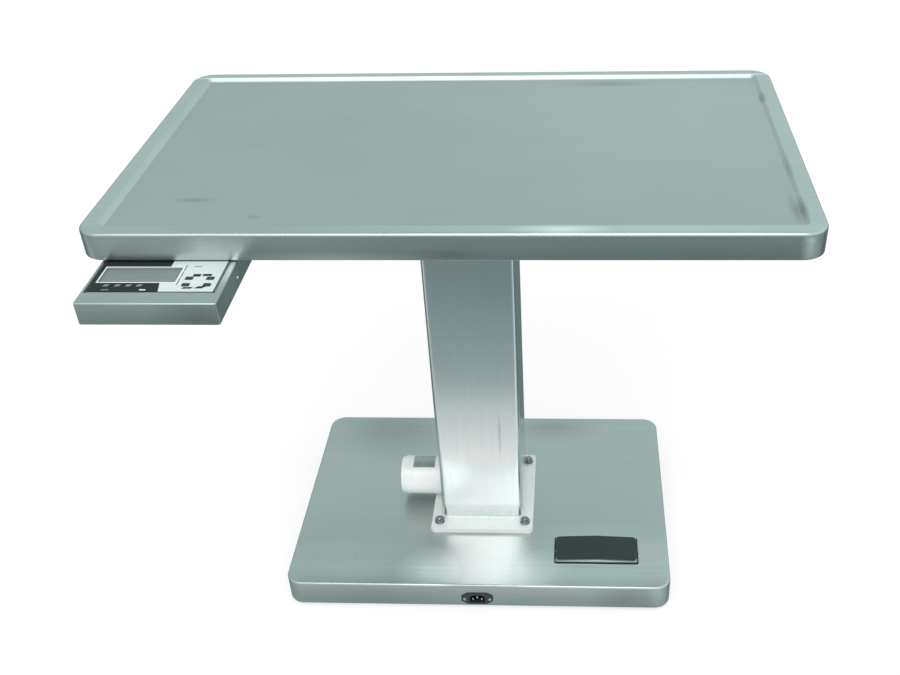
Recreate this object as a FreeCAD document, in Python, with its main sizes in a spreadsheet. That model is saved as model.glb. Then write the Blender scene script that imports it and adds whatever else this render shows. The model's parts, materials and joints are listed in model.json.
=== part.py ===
import FreeCAD, Part
import math
import os
import re

import Sketcher

# Veterinary exam table: a stainless weighing pan on four load cells, carried by an electric
# telescopic column on a flat base, with a rocker pedal in the base and a pull-out indicator
# tray under the pan's front left corner.
# Frame: origin on the floor below the column's axis, +X to the user's right, +Y away from
# the user, +Z up. Millimetres. The table stands at its lowest height, with the tray out.

SIZES = {
    # table pan
    "table_width": 900,
    "table_depth": 530,
    "table_height": 705,
    "table_corner": 40,
    "table_skirt": 36.5,
    "pan_skin": 1.2,
    "pan_fold": 3,
    "pan_land": 17,
    "pan_slope": 4.5,
    "pan_depth": 6,
    "pan_hem": 12,
    "stiffener_setback": 60,
    "stiffener_width": 40,
    "stiffener_height": 5,
    "stiffener_spread": 150,
    # table frame
    "frame_rise": 1.5,
    "frame_rail_width": 40,
    "frame_rail_height": 20,
    "frame_wall": 2,
    "long_rail_inset": 115,
    "cross_rail_spread": 150,
    "head_plate_size": 200,
    "head_plate_thickness": 8,
    "head_plate_corner": 10,
    # load cells
    "cell_length": 130,
    "cell_width": 28,
    "cell_insert": 50,
    "cell_end_gap": 40,
    "cell_window_length": 36,
    "cell_window_height": 10,
    "cell_window_corner": 3,
    "cell_window_start": 16,
    "cell_foot_inset": 13,
    "cell_foot_width": 20,
    "cell_foot_cap": 5,
    "cell_foot_taper": 15,
    # junction box and leads
    "junction_width": 70,
    "junction_depth": 50,
    "junction_height": 18,
    "junction_place": 60,
    "junction_corner": 4,
    "cell_lead_radius": 2,
    "cell_lead_spacing": 15,
    "lead_radius": 2.8,
    "lead_bend": 18,
    "pedal_lead_radius": 2,
    "pedal_lead_bend": 6,
    "pedal_lead_offset": 16,
    "pedal_lead_spacing": 5.5,
    # column
    "column_width": 134,
    "column_wall": 3,
    "column_corner": 8,
    "column_head_gap": 20.5,
    "inner_width": 120,
    "inner_wall": 3,
    "inner_corner": 6,
    "inner_foot_gap": 7,
    "slide_clearance": 0.3,
    "collar_lip": 3,
    "collar_depth": 45,
    "glide_width": 70,
    "glide_height": 60,
    "glide_rise": 5,
    "glide_corner": 6,
    "flange_width": 168,
    "flange_depth": 190,
    "flange_thickness": 8,
    "flange_corner": 4,
    "bolt_spread_x": 142,
    "bolt_spread_y": 154,
    "bolt_neck": 8,
    "bolt_clearance": 0.3,
    "bolt_head_width": 13,
    "bolt_head_height": 5.3,
    "washer_radius": 8,
    "washer_thickness": 1.6,
    "wire_slot_width": 16,
    "wire_slot_depth": 14,
    "wire_hole_x": 30,
    "motor_lead_drop": 13,
    "wire_hole_y": 20,
    # lifting actuator
    "motor_rise": 35.5,
    "motor_diameter": 62,
    "motor_reach": 136,
    "motor_hole_gap": 1.5,
    "motor_cap": 6,
    "motor_cap_step": 1.5,
    "gearbox_width": 84,
    "gearbox_depth": 80,
    "gearbox_height": 66,
    "gearbox_corner": 10,
    "neck_width": 60,
    "neck_height": 10,
    "bearing_width": 42,
    "bearing_height": 13,
    "bearing_seat": 1,
    "journal_radius": 8.5,
    "running_clearance": 0.05,
    "screw_radius": 10,
    "screw_collar": 11.5,
    "screw_collar_height": 4,
    "screw_end_gap": 24,
    "screw_tip": 2,
    "tube_radius": 25,
    "tube_wall": 3,
    "tube_head_gap": 102,
    "bush_length": 25,
    "rod_radius": 17,
    "rod_bore": 12,
    "rod_end": 45,
    "nut_rise": 12.5,
    "nut_length": 30,
    "nut_width": 36,
    "bracket_width": 56,
    "bracket_height": 30,
    "bracket_corner": 8,
    # base
    "base_width": 608,
    "base_depth": 424,
    "base_corner": 25,
    "base_skin": 1.5,
    "base_fold": 3,
    "base_skirt": 45.5,
    "base_hem": 9,
    "base_rail_inset": 8.5,
    "base_rail_width": 30,
    "base_rail_height": 38,
    "base_rail_wall": 2,
    "cross_rail_width": 36,
    "anchor_width": 156,
    "anchor_depth": 172,
    "anchor_thickness": 6,
    "anchor_clearance": 0.5,
    "foot_height": 14,
    "foot_radius": 16,
    "foot_taper": 12,
    "foot_inset": 22,
    # control box in the base
    "control_width": 140,
    "control_depth": 80,
    "control_height": 34,
    "control_wall": 2.5,
    "control_corner": 5,
    "control_side_gap": 34,
    "control_rail_gap": 6,
    "control_lid": 2.5,
    # mains inlet
    "inlet_height": 25,
    "inlet_flange_width": 50,
    "inlet_flange_height": 22,
    "inlet_flange_thickness": 2.2,
    "inlet_ear_height": 9,
    "inlet_flat_width": 30,
    "inlet_body_width": 27.5,
    "inlet_body_height": 20.5,
    "inlet_body_depth": 26,
    "inlet_fit": 0.3,
    "socket_width": 24.5,
    "socket_height": 16.5,
    "socket_depth": 17,
    "socket_chamfer": 5,
    "blade_thickness": 2,
    "blade_height": 4,
    "blade_length": 14,
    "blade_pitch": 7,
    "blade_drop": 3,
    "earth_rise": 1,
    # pedal
    "pedal_width": 130,
    "pedal_depth": 54,
    "pedal_gap": 2.5,
    "pedal_cutout_corner": 3,
    "pedal_plate_thickness": 2,
    "pedal_end_rise": 3,
    "pedal_ridge": 3,
    "pedal_flange": 8,
    "pedal_ear_width": 44,
    "pedal_ear_foot": 20,
    "pedal_ear_drop": 26,
    "pedal_pad_thickness": 3,
    "pedal_bare_strip": 4.5,
    "pedal_pad_margin": 1,
    "pedal_pad_corner": 6,
    "pedal_rail_gap": 8.5,
    "pedal_side_gap": 6,
    "pedal_pin_radius": 4,
    "pedal_pin_depth": 14,
    "pedal_pin_overhang": 1.5,
    "pedal_bracket_length": 140,
    "pedal_bracket_skin": 1.5,
    "pedal_bracket_floor": 20,
    "pedal_bracket_lip": 6,
    "switch_spread": 70,
    "switch_width": 20,
    "switch_depth": 10,
    "switch_height": 16,
    "plunger_width": 3,
    "plunger_height": 4,
    "plunger_depth": 6,
    "plunger_travel": 3,
    "contact_width": 7,
    "contact_gap": 0.5,
    "spring_width": 14,
    "spring_offset": 15,
    "spring_thickness": 1.2,
    "spring_foot": 12,
    "spring_bend": 24,
    "spring_crest": 55,
    "spring_tip": 61,
    "spring_tip_drop": 3,
    "spring_seat_gap": 0.3,
    # indicator tray
    "tray_width": 162,
    "tray_depth": 240,
    "tray_height": 29.5,
    "tray_skin": 1.2,
    "tray_corner": 3,
    "tray_fold": 1,
    "tray_gap": 1.2,
    "tray_reach": 95,
    "tray_from_side": 33,
    "tray_front_lip": 16,
    "tray_lead_width": 16,
    "tray_lead_height": 9,
    "runner_rise": 12.2,
    "runner_plate": 2,
    "runner_length": 185,
    "runner_setback": 60,
    "runner_room": 9,
    "runner_channel_skin": 1.5,
    "runner_mouth_gap": 0.5,
    "runner_stop_width": 4,
    "runner_leg_margin": 8,
    "slide_height": 10,
    "slide_length": 80,
    # indicator
    "indicator_width": 154,
    "indicator_depth": 77,
    "indicator_shift": 1,
    "indicator_corner": 2,
    "indicator_gap": 0.5,
    "case_wall": 2,
    "case_rib": 4,
    "case_rib_spread": 60,
    "bezel_thickness": 2.6,
    "overlay_recess": 0.3,
    "overlay_thickness": 0.4,
    "overlay_margin": 1.5,
    "window_left": 8.6,
    "window_back": 16,
    "window_width": 87,
    "window_depth": 31,
    "window_fit": 0.3,
    "display_border": 2,
    "board_drop": 6.4,
    "board_thickness": 1.6,
    "board_margin": 1.5,
    "tact_width": 6,
    "tact_height": 1,
    "key_columns_right": 29.6,
    "key_rows_front": 32.9,
    "key_pitch_x": 25.3,
    "key_pitch_y": 14.7,
    "key_width": 9,
    "key_depth": 6.5,
    "key_corner": 1,
    "key_stand": 0.5,
    "key_flange": 1,
    "key_flange_thickness": 0.8,
    "key_stem": 3,
    "key_travel": 0.8,
    "key_clearance": 0.3,
}

# Heights that follow from the sizes above
RAIL_TOP = "(foot_height + base_rail_height)"
BASE_TOP = f"({RAIL_TOP} + base_skin)"
ANCHOR_BOTTOM = f"({RAIL_TOP} - anchor_thickness)"
FLANGE_TOP = f"({BASE_TOP} + flange_thickness)"
SKIRT_BOTTOM = "(table_height - table_skirt)"
PAN_UNDERSIDE = "(table_height - pan_depth - pan_skin)"
FRAME_BOTTOM = f"({SKIRT_BOTTOM} + frame_rise)"
FRAME_TOP = f"({FRAME_BOTTOM} + frame_rail_height)"
CELL_BOTTOM = f"({FRAME_BOTTOM} + frame_wall)"
CELL_TOP = f"({FRAME_TOP} - frame_wall)"
HEAD_BOTTOM = f"({FRAME_BOTTOM} - head_plate_thickness)"
COLUMN_TOP = f"({HEAD_BOTTOM} - column_head_gap)"
MOTOR_AXIS = f"({FLANGE_TOP} + motor_rise)"
INNER_BOTTOM = f"({MOTOR_AXIS} + motor_diameter / 2 + inner_foot_gap)"
GEARBOX_TOP = f"({FLANGE_TOP} + gearbox_height)"
NECK_TOP = f"({GEARBOX_TOP} + neck_height)"
BEARING_TOP = f"({NECK_TOP} - bearing_seat)"
BEARING_BOTTOM = f"({BEARING_TOP} - bearing_height)"
SCREW_COLLAR_BOTTOM = f"({NECK_TOP} + slide_clearance)"
TUBE_TOP = f"({HEAD_BOTTOM} - tube_head_gap)"
BUSH_BOTTOM = f"({TUBE_TOP} - bush_length)"
SCREW_TOP = f"({TUBE_TOP} - screw_end_gap)"
NUT_BOTTOM = f"({NECK_TOP} + nut_rise)"
ROD_BOTTOM = f"({NUT_BOTTOM} + nut_length)"
TRAY_TOP = f"({SKIRT_BOTTOM} - tray_gap)"
TRAY_BOTTOM = f"({TRAY_TOP} - tray_height)"
RUNNER_HEIGHT = f"({TRAY_BOTTOM} + runner_rise)"
OVERLAY_TOP = f"({TRAY_TOP} - overlay_recess)"
BEZEL_TOP = f"({OVERLAY_TOP} - overlay_thickness)"
BEZEL_BOTTOM = f"({BEZEL_TOP} - bezel_thickness)"
CASE_BOTTOM = f"({TRAY_BOTTOM} + tray_skin)"
BOARD_TOP = f"({BEZEL_BOTTOM} - board_drop)"
BOARD_BOTTOM = f"({BOARD_TOP} - board_thickness)"
PEDAL_PIN_HEIGHT = f"({BASE_TOP} - pedal_pin_depth - base_skin)"
PEDAL_END_TOP = f"({BASE_TOP} + pedal_end_rise)"
PEDAL_FLOOR = "(pedal_bracket_floor + pedal_bracket_skin)"
MOTOR_LEAD_HEIGHT = f"({ANCHOR_BOTTOM} - motor_lead_drop)"

# Places in plan that follow from the sizes above
SIDE_RAIL_X = "(base_width / 2 - base_skin - base_rail_inset - base_rail_width / 2)"
SIDE_RAIL_LENGTH = "(base_depth - 2 * (base_skin + base_rail_inset))"
CROSS_RAIL_Y = "(bolt_spread_y / 2)"
FOOT_Y = f"({SIDE_RAIL_LENGTH} / 2 - foot_inset)"
PEDAL_X = f"({SIDE_RAIL_X} - base_rail_width / 2 - pedal_side_gap - pedal_bracket_length / 2)"
PEDAL_Y = f"(-({CROSS_RAIL_Y} + cross_rail_width / 2 + pedal_rail_gap + pedal_gap + pedal_depth / 2))"
COLUMN_BORE = "(column_width - 2 * column_wall)"
GUIDE_OPENING = "(inner_width + 2 * slide_clearance)"
GEARBOX_SIDE = "(gearbox_width / 2)"
LONG_RAIL_Y = "(table_depth / 2 - long_rail_inset)"
CROSS_RAIL_X = "(cross_rail_spread / 2)"
CELL_OUTER_X = "(table_width / 2 - cell_end_gap)"
CELL_INNER_X = f"({CELL_OUTER_X} - cell_length)"
CELL_FOOT_X = f"({CELL_OUTER_X} - cell_foot_inset)"
LONG_RAIL_LENGTH = f"(2 * ({CELL_INNER_X} + cell_insert))"
TRAY_X = "(-(table_width / 2 - tray_from_side - tray_width / 2))"
TRAY_FRONT = "(-(table_depth / 2 + tray_reach))"
TRAY_BACK = f"({TRAY_FRONT} + tray_depth)"
RUNNER_FRONT = "(-(table_depth / 2 - runner_setback))"
INDICATOR_X = f"({TRAY_X} - indicator_shift)"
INDICATOR_FRONT = f"({TRAY_FRONT} + tray_front_lip)"
INDICATOR_BACK = f"({INDICATOR_FRONT} + indicator_depth)"
WINDOW_LEFT = f"({INDICATOR_X} - indicator_width / 2 + window_left)"
WINDOW_BACK = f"({INDICATOR_BACK} - window_back)"
KEY_X = f"({INDICATOR_X} + indicator_width / 2 - key_columns_right)"
KEY_Y = f"({INDICATOR_FRONT} + key_rows_front)"
INLET_FACE = "(-base_depth / 2)"
CONTROL_LEFT = f"(-{SIDE_RAIL_X} + base_rail_width / 2 + control_side_gap)"
CONTROL_BACK = f"(-({CROSS_RAIL_Y} + cross_rail_width / 2 + control_rail_gap))"

LEAD_SIDES = 6
NORMAL_SIGN = {"XY": 1, "XZ": -1, "YZ": 1}
FORWARD = 1
BACKWARD = -1
BOTH_WAYS = 0

doc = FreeCAD.newDocument("exam_table")
sheet = doc.addObject("Spreadsheet::Sheet", "Sizes")
for row, (alias, number) in enumerate(SIZES.items(), start=1):
    sheet.set(f"A{row}", alias)
    sheet.set(f"B{row}", str(number))
    sheet.setAlias(f"B{row}", alias)
doc.recompute()

sub_parts = []


# ---------------------------------------------------------------- drawing helpers
def expression(text):
    """Turn size names in a formula into references to the sheet's cells."""
    return re.sub(r"[a-z][a-z_]*", lambda found: "Sizes." + found.group()
                  if found.group() in SIZES else found.group(), text)


def value(text):
    """The number that a formula of size names has now."""
    return float(sheet.evalExpression(expression(text)))


def bind(thing, prop, text):
    thing.setExpression(prop, expression(text))


def new_body(label):
    body = doc.addObject("PartDesign::Body", label)
    body.Label = label
    sub_parts.append(body)
    return body


def origin_feature(body, role):
    return next(item for item in body.Origin.OriginFeatures if item.Role == role)


def new_sketch(body, plane, at=("0", "0", "0")):
    """A sketch on one of the body's origin planes, with its own origin at the point `at`."""
    x, y, z = at
    local = {"XY": (x, y, z), "XZ": (x, z, f"-({y})"), "YZ": (y, z, x)}[plane]
    sketch = body.newObject("Sketcher::SketchObject", f"{body.Label}_{plane}_sketch")
    sketch.AttachmentSupport = [(origin_feature(body, plane + "_Plane"), "")]
    sketch.MapMode = "FlatFace"
    for axis, text in zip("xyz", local):
        bind(sketch, f"AttachmentOffset.Base.{axis}", text)
    sketch.Label = f"{sketch.Name}_{plane}"
    return sketch


def plane_of(sketch):
    return sketch.Label[-2:]


def dimension(sketch, kind, *references, text):
    """One driving dimension, bound to a formula."""
    index = sketch.addConstraint(Sketcher.Constraint(kind, *references, value(text)))
    bind(sketch, f"Constraints[{index}]", text)


def place_point(sketch, piece, point, x, y):
    dimension(sketch, "DistanceX", -1, 1, piece, point, text=x)
    dimension(sketch, "DistanceY", -1, 1, piece, point, text=y)


def circle(sketch, x, y, radius):
    centre = FreeCAD.Vector(value(x), value(y), 0)
    piece = sketch.addGeometry(Part.Circle(centre, FreeCAD.Vector(0, 0, 1), value(radius)))
    dimension(sketch, "Radius", piece, text=radius)
    place_point(sketch, piece, 3, x, y)


def arc_between(start, end, radius, turn):
    """The short arc from start to end; turn is 1 for a left turn and -1 for a right turn."""
    run = end - start
    left = FreeCAD.Vector(-run.y, run.x, 0)
    left.normalize()
    rise = math.sqrt(max(radius ** 2 - (run.Length / 2) ** 2, 0))
    centre = start + run * 0.5 + left * (rise * turn)
    first, last = (start, end) if turn > 0 else (end, start)
    angles = [math.atan2(spot.y - centre.y, spot.x - centre.x) for spot in (first, last)]
    round_line = Part.Circle(centre, FreeCAD.Vector(0, 0, 1), radius)
    return Part.ArcOfCircle(round_line, *angles)


def outline(sketch, points, arcs=None):
    """A closed outline through points; arcs maps a run's number to (radius, turn)."""
    arcs = arcs or {}
    spots = [FreeCAD.Vector(value(x), value(y), 0) for x, y in points]
    count = len(points)
    runs = []
    for number, start in enumerate(spots):
        end = spots[(number + 1) % count]
        if number in arcs:
            radius, turn = arcs[number]
            piece = sketch.addGeometry(arc_between(start, end, value(radius), turn))
            ends = (1, 2) if turn > 0 else (2, 1)
        else:
            piece = sketch.addGeometry(Part.LineSegment(start, end))
            ends = (1, 2)
        runs.append((piece, ends))
    for number, (piece, ends) in enumerate(runs):
        following, following_ends = runs[(number + 1) % count]
        sketch.addConstraint(
            Sketcher.Constraint("Coincident", piece, ends[1], following, following_ends[0]))
        place_point(sketch, piece, ends[0], *points[number])
        if number in arcs:
            dimension(sketch, "Radius", piece, text=arcs[number][0])


def rectangle(sketch, left, right, low, high, corner=None, clipped=False):
    """A rectangle between four formulas; its corners are round, clipped or sharp."""
    if corner is None:
        outline(sketch, [(left, low), (right, low), (right, high), (left, high)])
        return
    in_left, in_right = f"({left}) + {corner}", f"({right}) - {corner}"
    in_low, in_high = f"({low}) + {corner}", f"({high}) - {corner}"
    points = [(in_left, low), (in_right, low), (right, in_low), (right, in_high),
              (in_right, high), (in_left, high), (left, in_high), (left, in_low)]
    round_runs = () if clipped else (1, 3, 5, 7)
    outline(sketch, points, {number: (corner, 1) for number in round_runs})


def centred(sketch, width, depth, corner=None, clipped=False):
    """A rectangle about the sketch's origin."""
    rectangle(sketch, f"-({width}) / 2", f"({width}) / 2",
              f"-({depth}) / 2", f"({depth}) / 2", corner, clipped)


def polygon(sketch, width_across_flats, sides=6):
    reach = f"({width_across_flats}) / 2 / {math.cos(math.pi / sides):.9f}"
    points = []
    for number in range(sides):
        angle = 2 * math.pi * number / sides
        points.append((f"{reach} * {math.cos(angle):.9f}", f"{reach} * {math.sin(angle):.9f}"))
    outline(sketch, points)


def set_side(feature, sketch, direction, adds):
    sign = NORMAL_SIGN[plane_of(sketch)]
    if direction == BOTH_WAYS:
        feature.SideType = "Symmetric"
    else:
        feature.Reversed = (direction != sign) if adds else (direction == sign)


def pad(body, sketch, length, direction=FORWARD, taper=None):
    feature = body.newObject("PartDesign::Pad", body.Label + "_pad")
    feature.Profile = sketch
    bind(feature, "Length", length)
    set_side(feature, sketch, direction, adds=True)
    if taper is not None:
        bind(feature, "TaperAngle", taper)
    return feature


def cut(body, sketch, depth, direction=FORWARD):
    feature = body.newObject("PartDesign::Pocket", body.Label + "_pocket")
    feature.Profile = sketch
    bind(feature, "Length", depth)
    set_side(feature, sketch, direction, adds=False)
    return feature


def revolve(body, sketch):
    feature = body.newObject("PartDesign::Revolution", body.Label + "_revolution")
    feature.Profile = sketch
    feature.ReferenceAxis = (sketch, ["V_Axis"])
    feature.Angle = 360
    return feature


def sweep(body, profile, path):
    feature = body.newObject("PartDesign::AdditivePipe", body.Label + "_pipe")
    feature.Profile = profile
    feature.Spine = (path, [])
    return feature


def mirror(body, features, *planes):
    """Copies of features on the other side of each plane named."""
    group = body.newObject("PartDesign::MultiTransform", body.Label + "_mirrors")
    steps = []
    for plane in planes:
        step = body.newObject("PartDesign::Mirrored", body.Label + "_mirror")
        step.MirrorPlane = (origin_feature(body, plane + "_Plane"), [""])
        steps.append(step)
    group.Originals = features
    group.Transformations = steps
    body.Tip = group
    return group


def around_z(body, features, count):
    pattern = body.newObject("PartDesign::PolarPattern", body.Label + "_polar")
    pattern.Axis = (origin_feature(body, "Z_Axis"), [""])
    pattern.Angle = 360
    pattern.Occurrences = count
    pattern.Originals = features
    body.Tip = pattern
    return pattern


def dress_edges(body, feature, kind, size, chosen):
    """A Fillet or Chamfer on the edges of feature for which chosen(edge) is true."""
    doc.recompute()
    names = [f"Edge{number}" for number, edge in enumerate(feature.Shape.Edges, start=1)
             if chosen(edge)]
    dressing = body.newObject("PartDesign::" + kind, f"{body.Label}_{kind.lower()}")
    dressing.Base = (feature, names)
    bind(dressing, {"Fillet": "Radius", "Chamfer": "Size"}[kind], size)
    return dressing


def at_height(text):
    height = value(text)
    return lambda edge: all(abs(corner.Z - height) < 1e-6 for corner in edge.Vertexes)


def tube_between(body, plane, at, outer, inner, length, direction=FORWARD):
    """A square tube: outer and inner are (width, depth, corner, clipped) of its outlines."""
    sketch = new_sketch(body, plane, at)
    centred(sketch, *outer)
    centred(sketch, *inner)
    return pad(body, sketch, length, direction)


def ring(body, at, outer_radius, inner_radius, length, plane="XY", direction=FORWARD):
    sketch = new_sketch(body, plane, at)
    circle(sketch, "0", "0", outer_radius)
    circle(sketch, "0", "0", inner_radius)
    return pad(body, sketch, length, direction)


def disc(body, at, radius, length, plane="XY", direction=FORWARD, taper=None):
    sketch = new_sketch(body, plane, at)
    circle(sketch, "0", "0", radius)
    return pad(body, sketch, length, direction, taper)


def drill(body, at, radius, depth, plane="XY", direction=FORWARD):
    sketch = new_sketch(body, plane, at)
    circle(sketch, "0", "0", radius)
    return cut(body, sketch, depth, direction)


def block(body, at, width, depth, length, corner=None, plane="XY", direction=FORWARD,
          clipped=False):
    sketch = new_sketch(body, plane, at)
    centred(sketch, width, depth, corner, clipped)
    return pad(body, sketch, length, direction)


def hollow(body, at, width, depth, length, corner=None, plane="XY", direction=FORWARD,
           clipped=False):
    sketch = new_sketch(body, plane, at)
    centred(sketch, width, depth, corner, clipped)
    return cut(body, sketch, length, direction)


def prism(body, at, width_across_flats, length, sides=6, direction=FORWARD, taper=None):
    sketch = new_sketch(body, "XY", at)
    polygon(sketch, width_across_flats, sides)
    return pad(body, sketch, length, direction, taper)


def lead(points, radius, bend):
    """A lead of many-sided section along straight runs joined by tangent arcs."""
    edges = []
    start = points[0]
    for before, corner, after in zip(points, points[1:], points[2:]):
        into = (corner - before).normalize()
        out = (after - corner).normalize()
        half_turn = into.getAngle(out) / 2
        setback = bend * math.tan(half_turn)
        arc_start = corner - into * setback
        arc_end = corner + out * setback
        inward = (out - into).normalize()
        arc_middle = corner + inward * (bend / math.cos(half_turn) - bend)
        edges.append(Part.LineSegment(start, arc_start).toShape())
        edges.append(Part.Arc(arc_start, arc_middle, arc_end).toShape())
        start = arc_end
    edges.append(Part.LineSegment(start, points[-1]).toShape())
    path = Part.Wire(edges)
    sides = LEAD_SIDES
    along = (points[1] - points[0]).normalize()
    across = along.cross(FreeCAD.Vector(0, 0, 1))
    if across.Length < 0.5:
        across = along.cross(FreeCAD.Vector(1, 0, 0))
    across.normalize()
    upward = across.cross(along)
    rim = []
    for number in range(sides + 1):
        angle = 2 * math.pi * (number + 0.5) / sides
        rim.append(points[0] + across * (radius * math.cos(angle))
                   + upward * (radius * math.sin(angle)))
    return path.makePipeShell([Part.makePolygon(rim)], True, False)


def spot(x, y, z):
    return FreeCAD.Vector(value(x), value(y), value(z))


def lead_group(label, shapes):
    group = doc.addObject("Part::Feature", label)
    group.Label = label
    group.Shape = shapes[0] if len(shapes) == 1 else Part.makeCompound(shapes)
    group.Placement = FreeCAD.Placement()
    sub_parts.append(group)


# ---------------------------------------------------------------- base
def fold_flats(fold):
    """Corners of a folded edge, bent in two steps from the skirt to the top."""
    near = f"{fold} * (1 - {math.sqrt(0.5):.6f})"
    return [("0", f"-{fold}"), (near, f"-{near}"), (fold, "0")]


def folded_profile(body, at, skin, fold, land, skirt, hem):
    """Section of a folded sheet edge: flat land, round fold, skirt and turned-in hem."""
    profile = new_sketch(body, "YZ", at)
    points = [*fold_flats(fold), (land, "0"), (land, f"-{skin}"),
              (fold, f"-{skin}"), (skin, f"-{fold}"),
              (skin, f"-{skirt} + {skin}"), (hem, f"-{skirt} + {skin}"),
              (hem, f"-{skirt}"), ("0", f"-{skirt}")]
    outline(profile, points)
    return profile


def base_cover():
    body = new_body("base_cover")
    path = new_sketch(body, "XY", ("0", "0", BASE_TOP))
    centred(path, "base_width", "base_depth", "base_corner")
    profile = folded_profile(body, ("0", "-base_depth / 2", BASE_TOP), "base_skin",
                             "base_fold", "(base_fold * 2)", "base_skirt", "base_hem")
    sweep(body, profile, path)
    block(body, ("0", "0", BASE_TOP), "base_width - 3 * base_fold",
          "base_depth - 3 * base_fold", "base_skin", "(base_corner - 1.5 * base_fold)",
          direction=BACKWARD)
    hollow(body, (PEDAL_X, PEDAL_Y, BASE_TOP), "pedal_width + 2 * pedal_gap",
           "pedal_depth + 2 * pedal_gap", "base_skin", "pedal_cutout_corner",
           direction=BACKWARD)
    hollow(body, ("0", "0", BASE_TOP), "anchor_width + 2 * anchor_clearance",
           "anchor_depth + 2 * anchor_clearance", "base_skin", direction=BACKWARD)
    hollow(body, ("0", INLET_FACE, "inlet_height"), "inlet_body_width + 2 * inlet_fit",
           "inlet_body_height + 2 * inlet_fit", "base_skin", plane="XZ")


def base_side_rails():
    body = new_body("base_side_rails")
    inner = "2 * base_rail_wall"
    tube = tube_between(
        body, "XZ", (SIDE_RAIL_X, "0", "(foot_height + base_rail_height / 2)"),
        ("base_rail_width", "base_rail_height"),
        (f"(base_rail_width - {inner})", f"(base_rail_height - {inner})"),
        SIDE_RAIL_LENGTH, BOTH_WAYS)
    mirror(body, [tube], "YZ")


def base_cross_rails():
    body = new_body("base_cross_rails")
    height = f"({ANCHOR_BOTTOM} - foot_height)"
    tube = tube_between(
        body, "YZ", ("0", f"-{CROSS_RAIL_Y}", f"(foot_height + {height} / 2)"),
        ("cross_rail_width", height),
        ("(cross_rail_width - 2 * base_rail_wall)", f"({height} - 2 * base_rail_wall)"),
        f"(2 * {SIDE_RAIL_X} - base_rail_width)", BOTH_WAYS)
    passage = hollow(body, ("-wire_hole_x", f"-{CROSS_RAIL_Y}", MOTOR_LEAD_HEIGHT),
                     "wire_slot_width", "wire_slot_depth", "cross_rail_width", plane="XZ",
                     direction=BOTH_WAYS)
    mirror(body, [tube, passage], "XZ")


def wire_slot(body, top, depth):
    """The opening that lets the motor lead down through flange and anchor plate."""
    hollow(body, ("-wire_hole_x", "-wire_hole_y", top), "wire_slot_width", "wire_slot_depth",
           depth, direction=BACKWARD)


def base_anchor_plate():
    """The plate that fills the cover's opening, so that the flange bears on the rails."""
    body = new_body("base_anchor_plate")
    thickness = f"({BASE_TOP} - {ANCHOR_BOTTOM})"
    block(body, ("0", "0", BASE_TOP), "anchor_width", "anchor_depth", thickness,
          direction=BACKWARD)
    wire_slot(body, BASE_TOP, thickness)


def rubber_feet():
    body = new_body("rubber_feet")
    foot = disc(body, (SIDE_RAIL_X, FOOT_Y, "0"), "foot_radius", "foot_height",
                taper="-foot_taper")
    mirror(body, [foot], "YZ", "XZ")


def control_box():
    body = new_body("control_box")
    centre = (f"({CONTROL_LEFT} + control_width / 2)", f"({CONTROL_BACK} - control_depth / 2)")
    block(body, (*centre, RAIL_TOP), "control_width", "control_depth",
          "(control_height - control_lid)", "control_corner", direction=BACKWARD,
          clipped=True)
    hollow(body, (*centre, f"({RAIL_TOP} - control_wall)"), "(control_width - 2 * control_wall)",
           "(control_depth - 2 * control_wall)", "control_height",
           "(control_corner - control_wall / 2)", direction=BACKWARD, clipped=True)
    block(body, (*centre, f"({RAIL_TOP} - control_height + control_lid)"), "control_width",
          "control_depth", "control_lid", "control_corner", direction=BACKWARD, clipped=True)


def inlet_outline(sketch):
    """Flange of the mains inlet: a flat middle that narrows to an ear on each side."""
    half = "inlet_flange_width / 2"
    flat = "inlet_flat_width / 2"
    high = "inlet_flange_height / 2"
    ear = "inlet_ear_height / 2"
    outline(sketch, [(f"-{flat}", f"-{high}"), (flat, f"-{high}"), (half, f"-{ear}"),
                     (half, ear), (flat, high), (f"-{flat}", high), (f"-{half}", ear),
                     (f"-{half}", f"-{ear}")])


def socket_outline(sketch):
    """Opening of the mains inlet: a rectangle with its two upper corners cut off."""
    half = "socket_width / 2"
    high = "socket_height / 2"
    outline(sketch, [(f"-{half}", f"-{high}"), (half, f"-{high}"),
                     (half, f"{high} - socket_chamfer"), (f"{half} - socket_chamfer", high),
                     (f"-{half} + socket_chamfer", high), (f"-{half}", f"{high} - socket_chamfer")])


def inlet_housing():
    body = new_body("inlet_housing")
    face = ("0", f"({INLET_FACE} - inlet_flange_thickness)", "inlet_height")
    flange = new_sketch(body, "XZ", face)
    inlet_outline(flange)
    pad(body, flange, "inlet_flange_thickness")
    block(body, face, "inlet_body_width", "inlet_body_height", "inlet_body_depth", plane="XZ")
    socket = new_sketch(body, "XZ", face)
    socket_outline(socket)
    cut(body, socket, "socket_depth")


def inlet_blades():
    body = new_body("inlet_blades")
    root = f"({INLET_FACE} - inlet_flange_thickness + socket_depth)"
    places = [("-blade_pitch", "-blade_drop"), ("blade_pitch", "-blade_drop"),
              ("0", "earth_rise")]
    for x, rise in places:
        block(body, (x, root, f"(inlet_height + {rise})"), "blade_thickness", "blade_height",
              "blade_length", plane="XZ", direction=BACKWARD)


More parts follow.
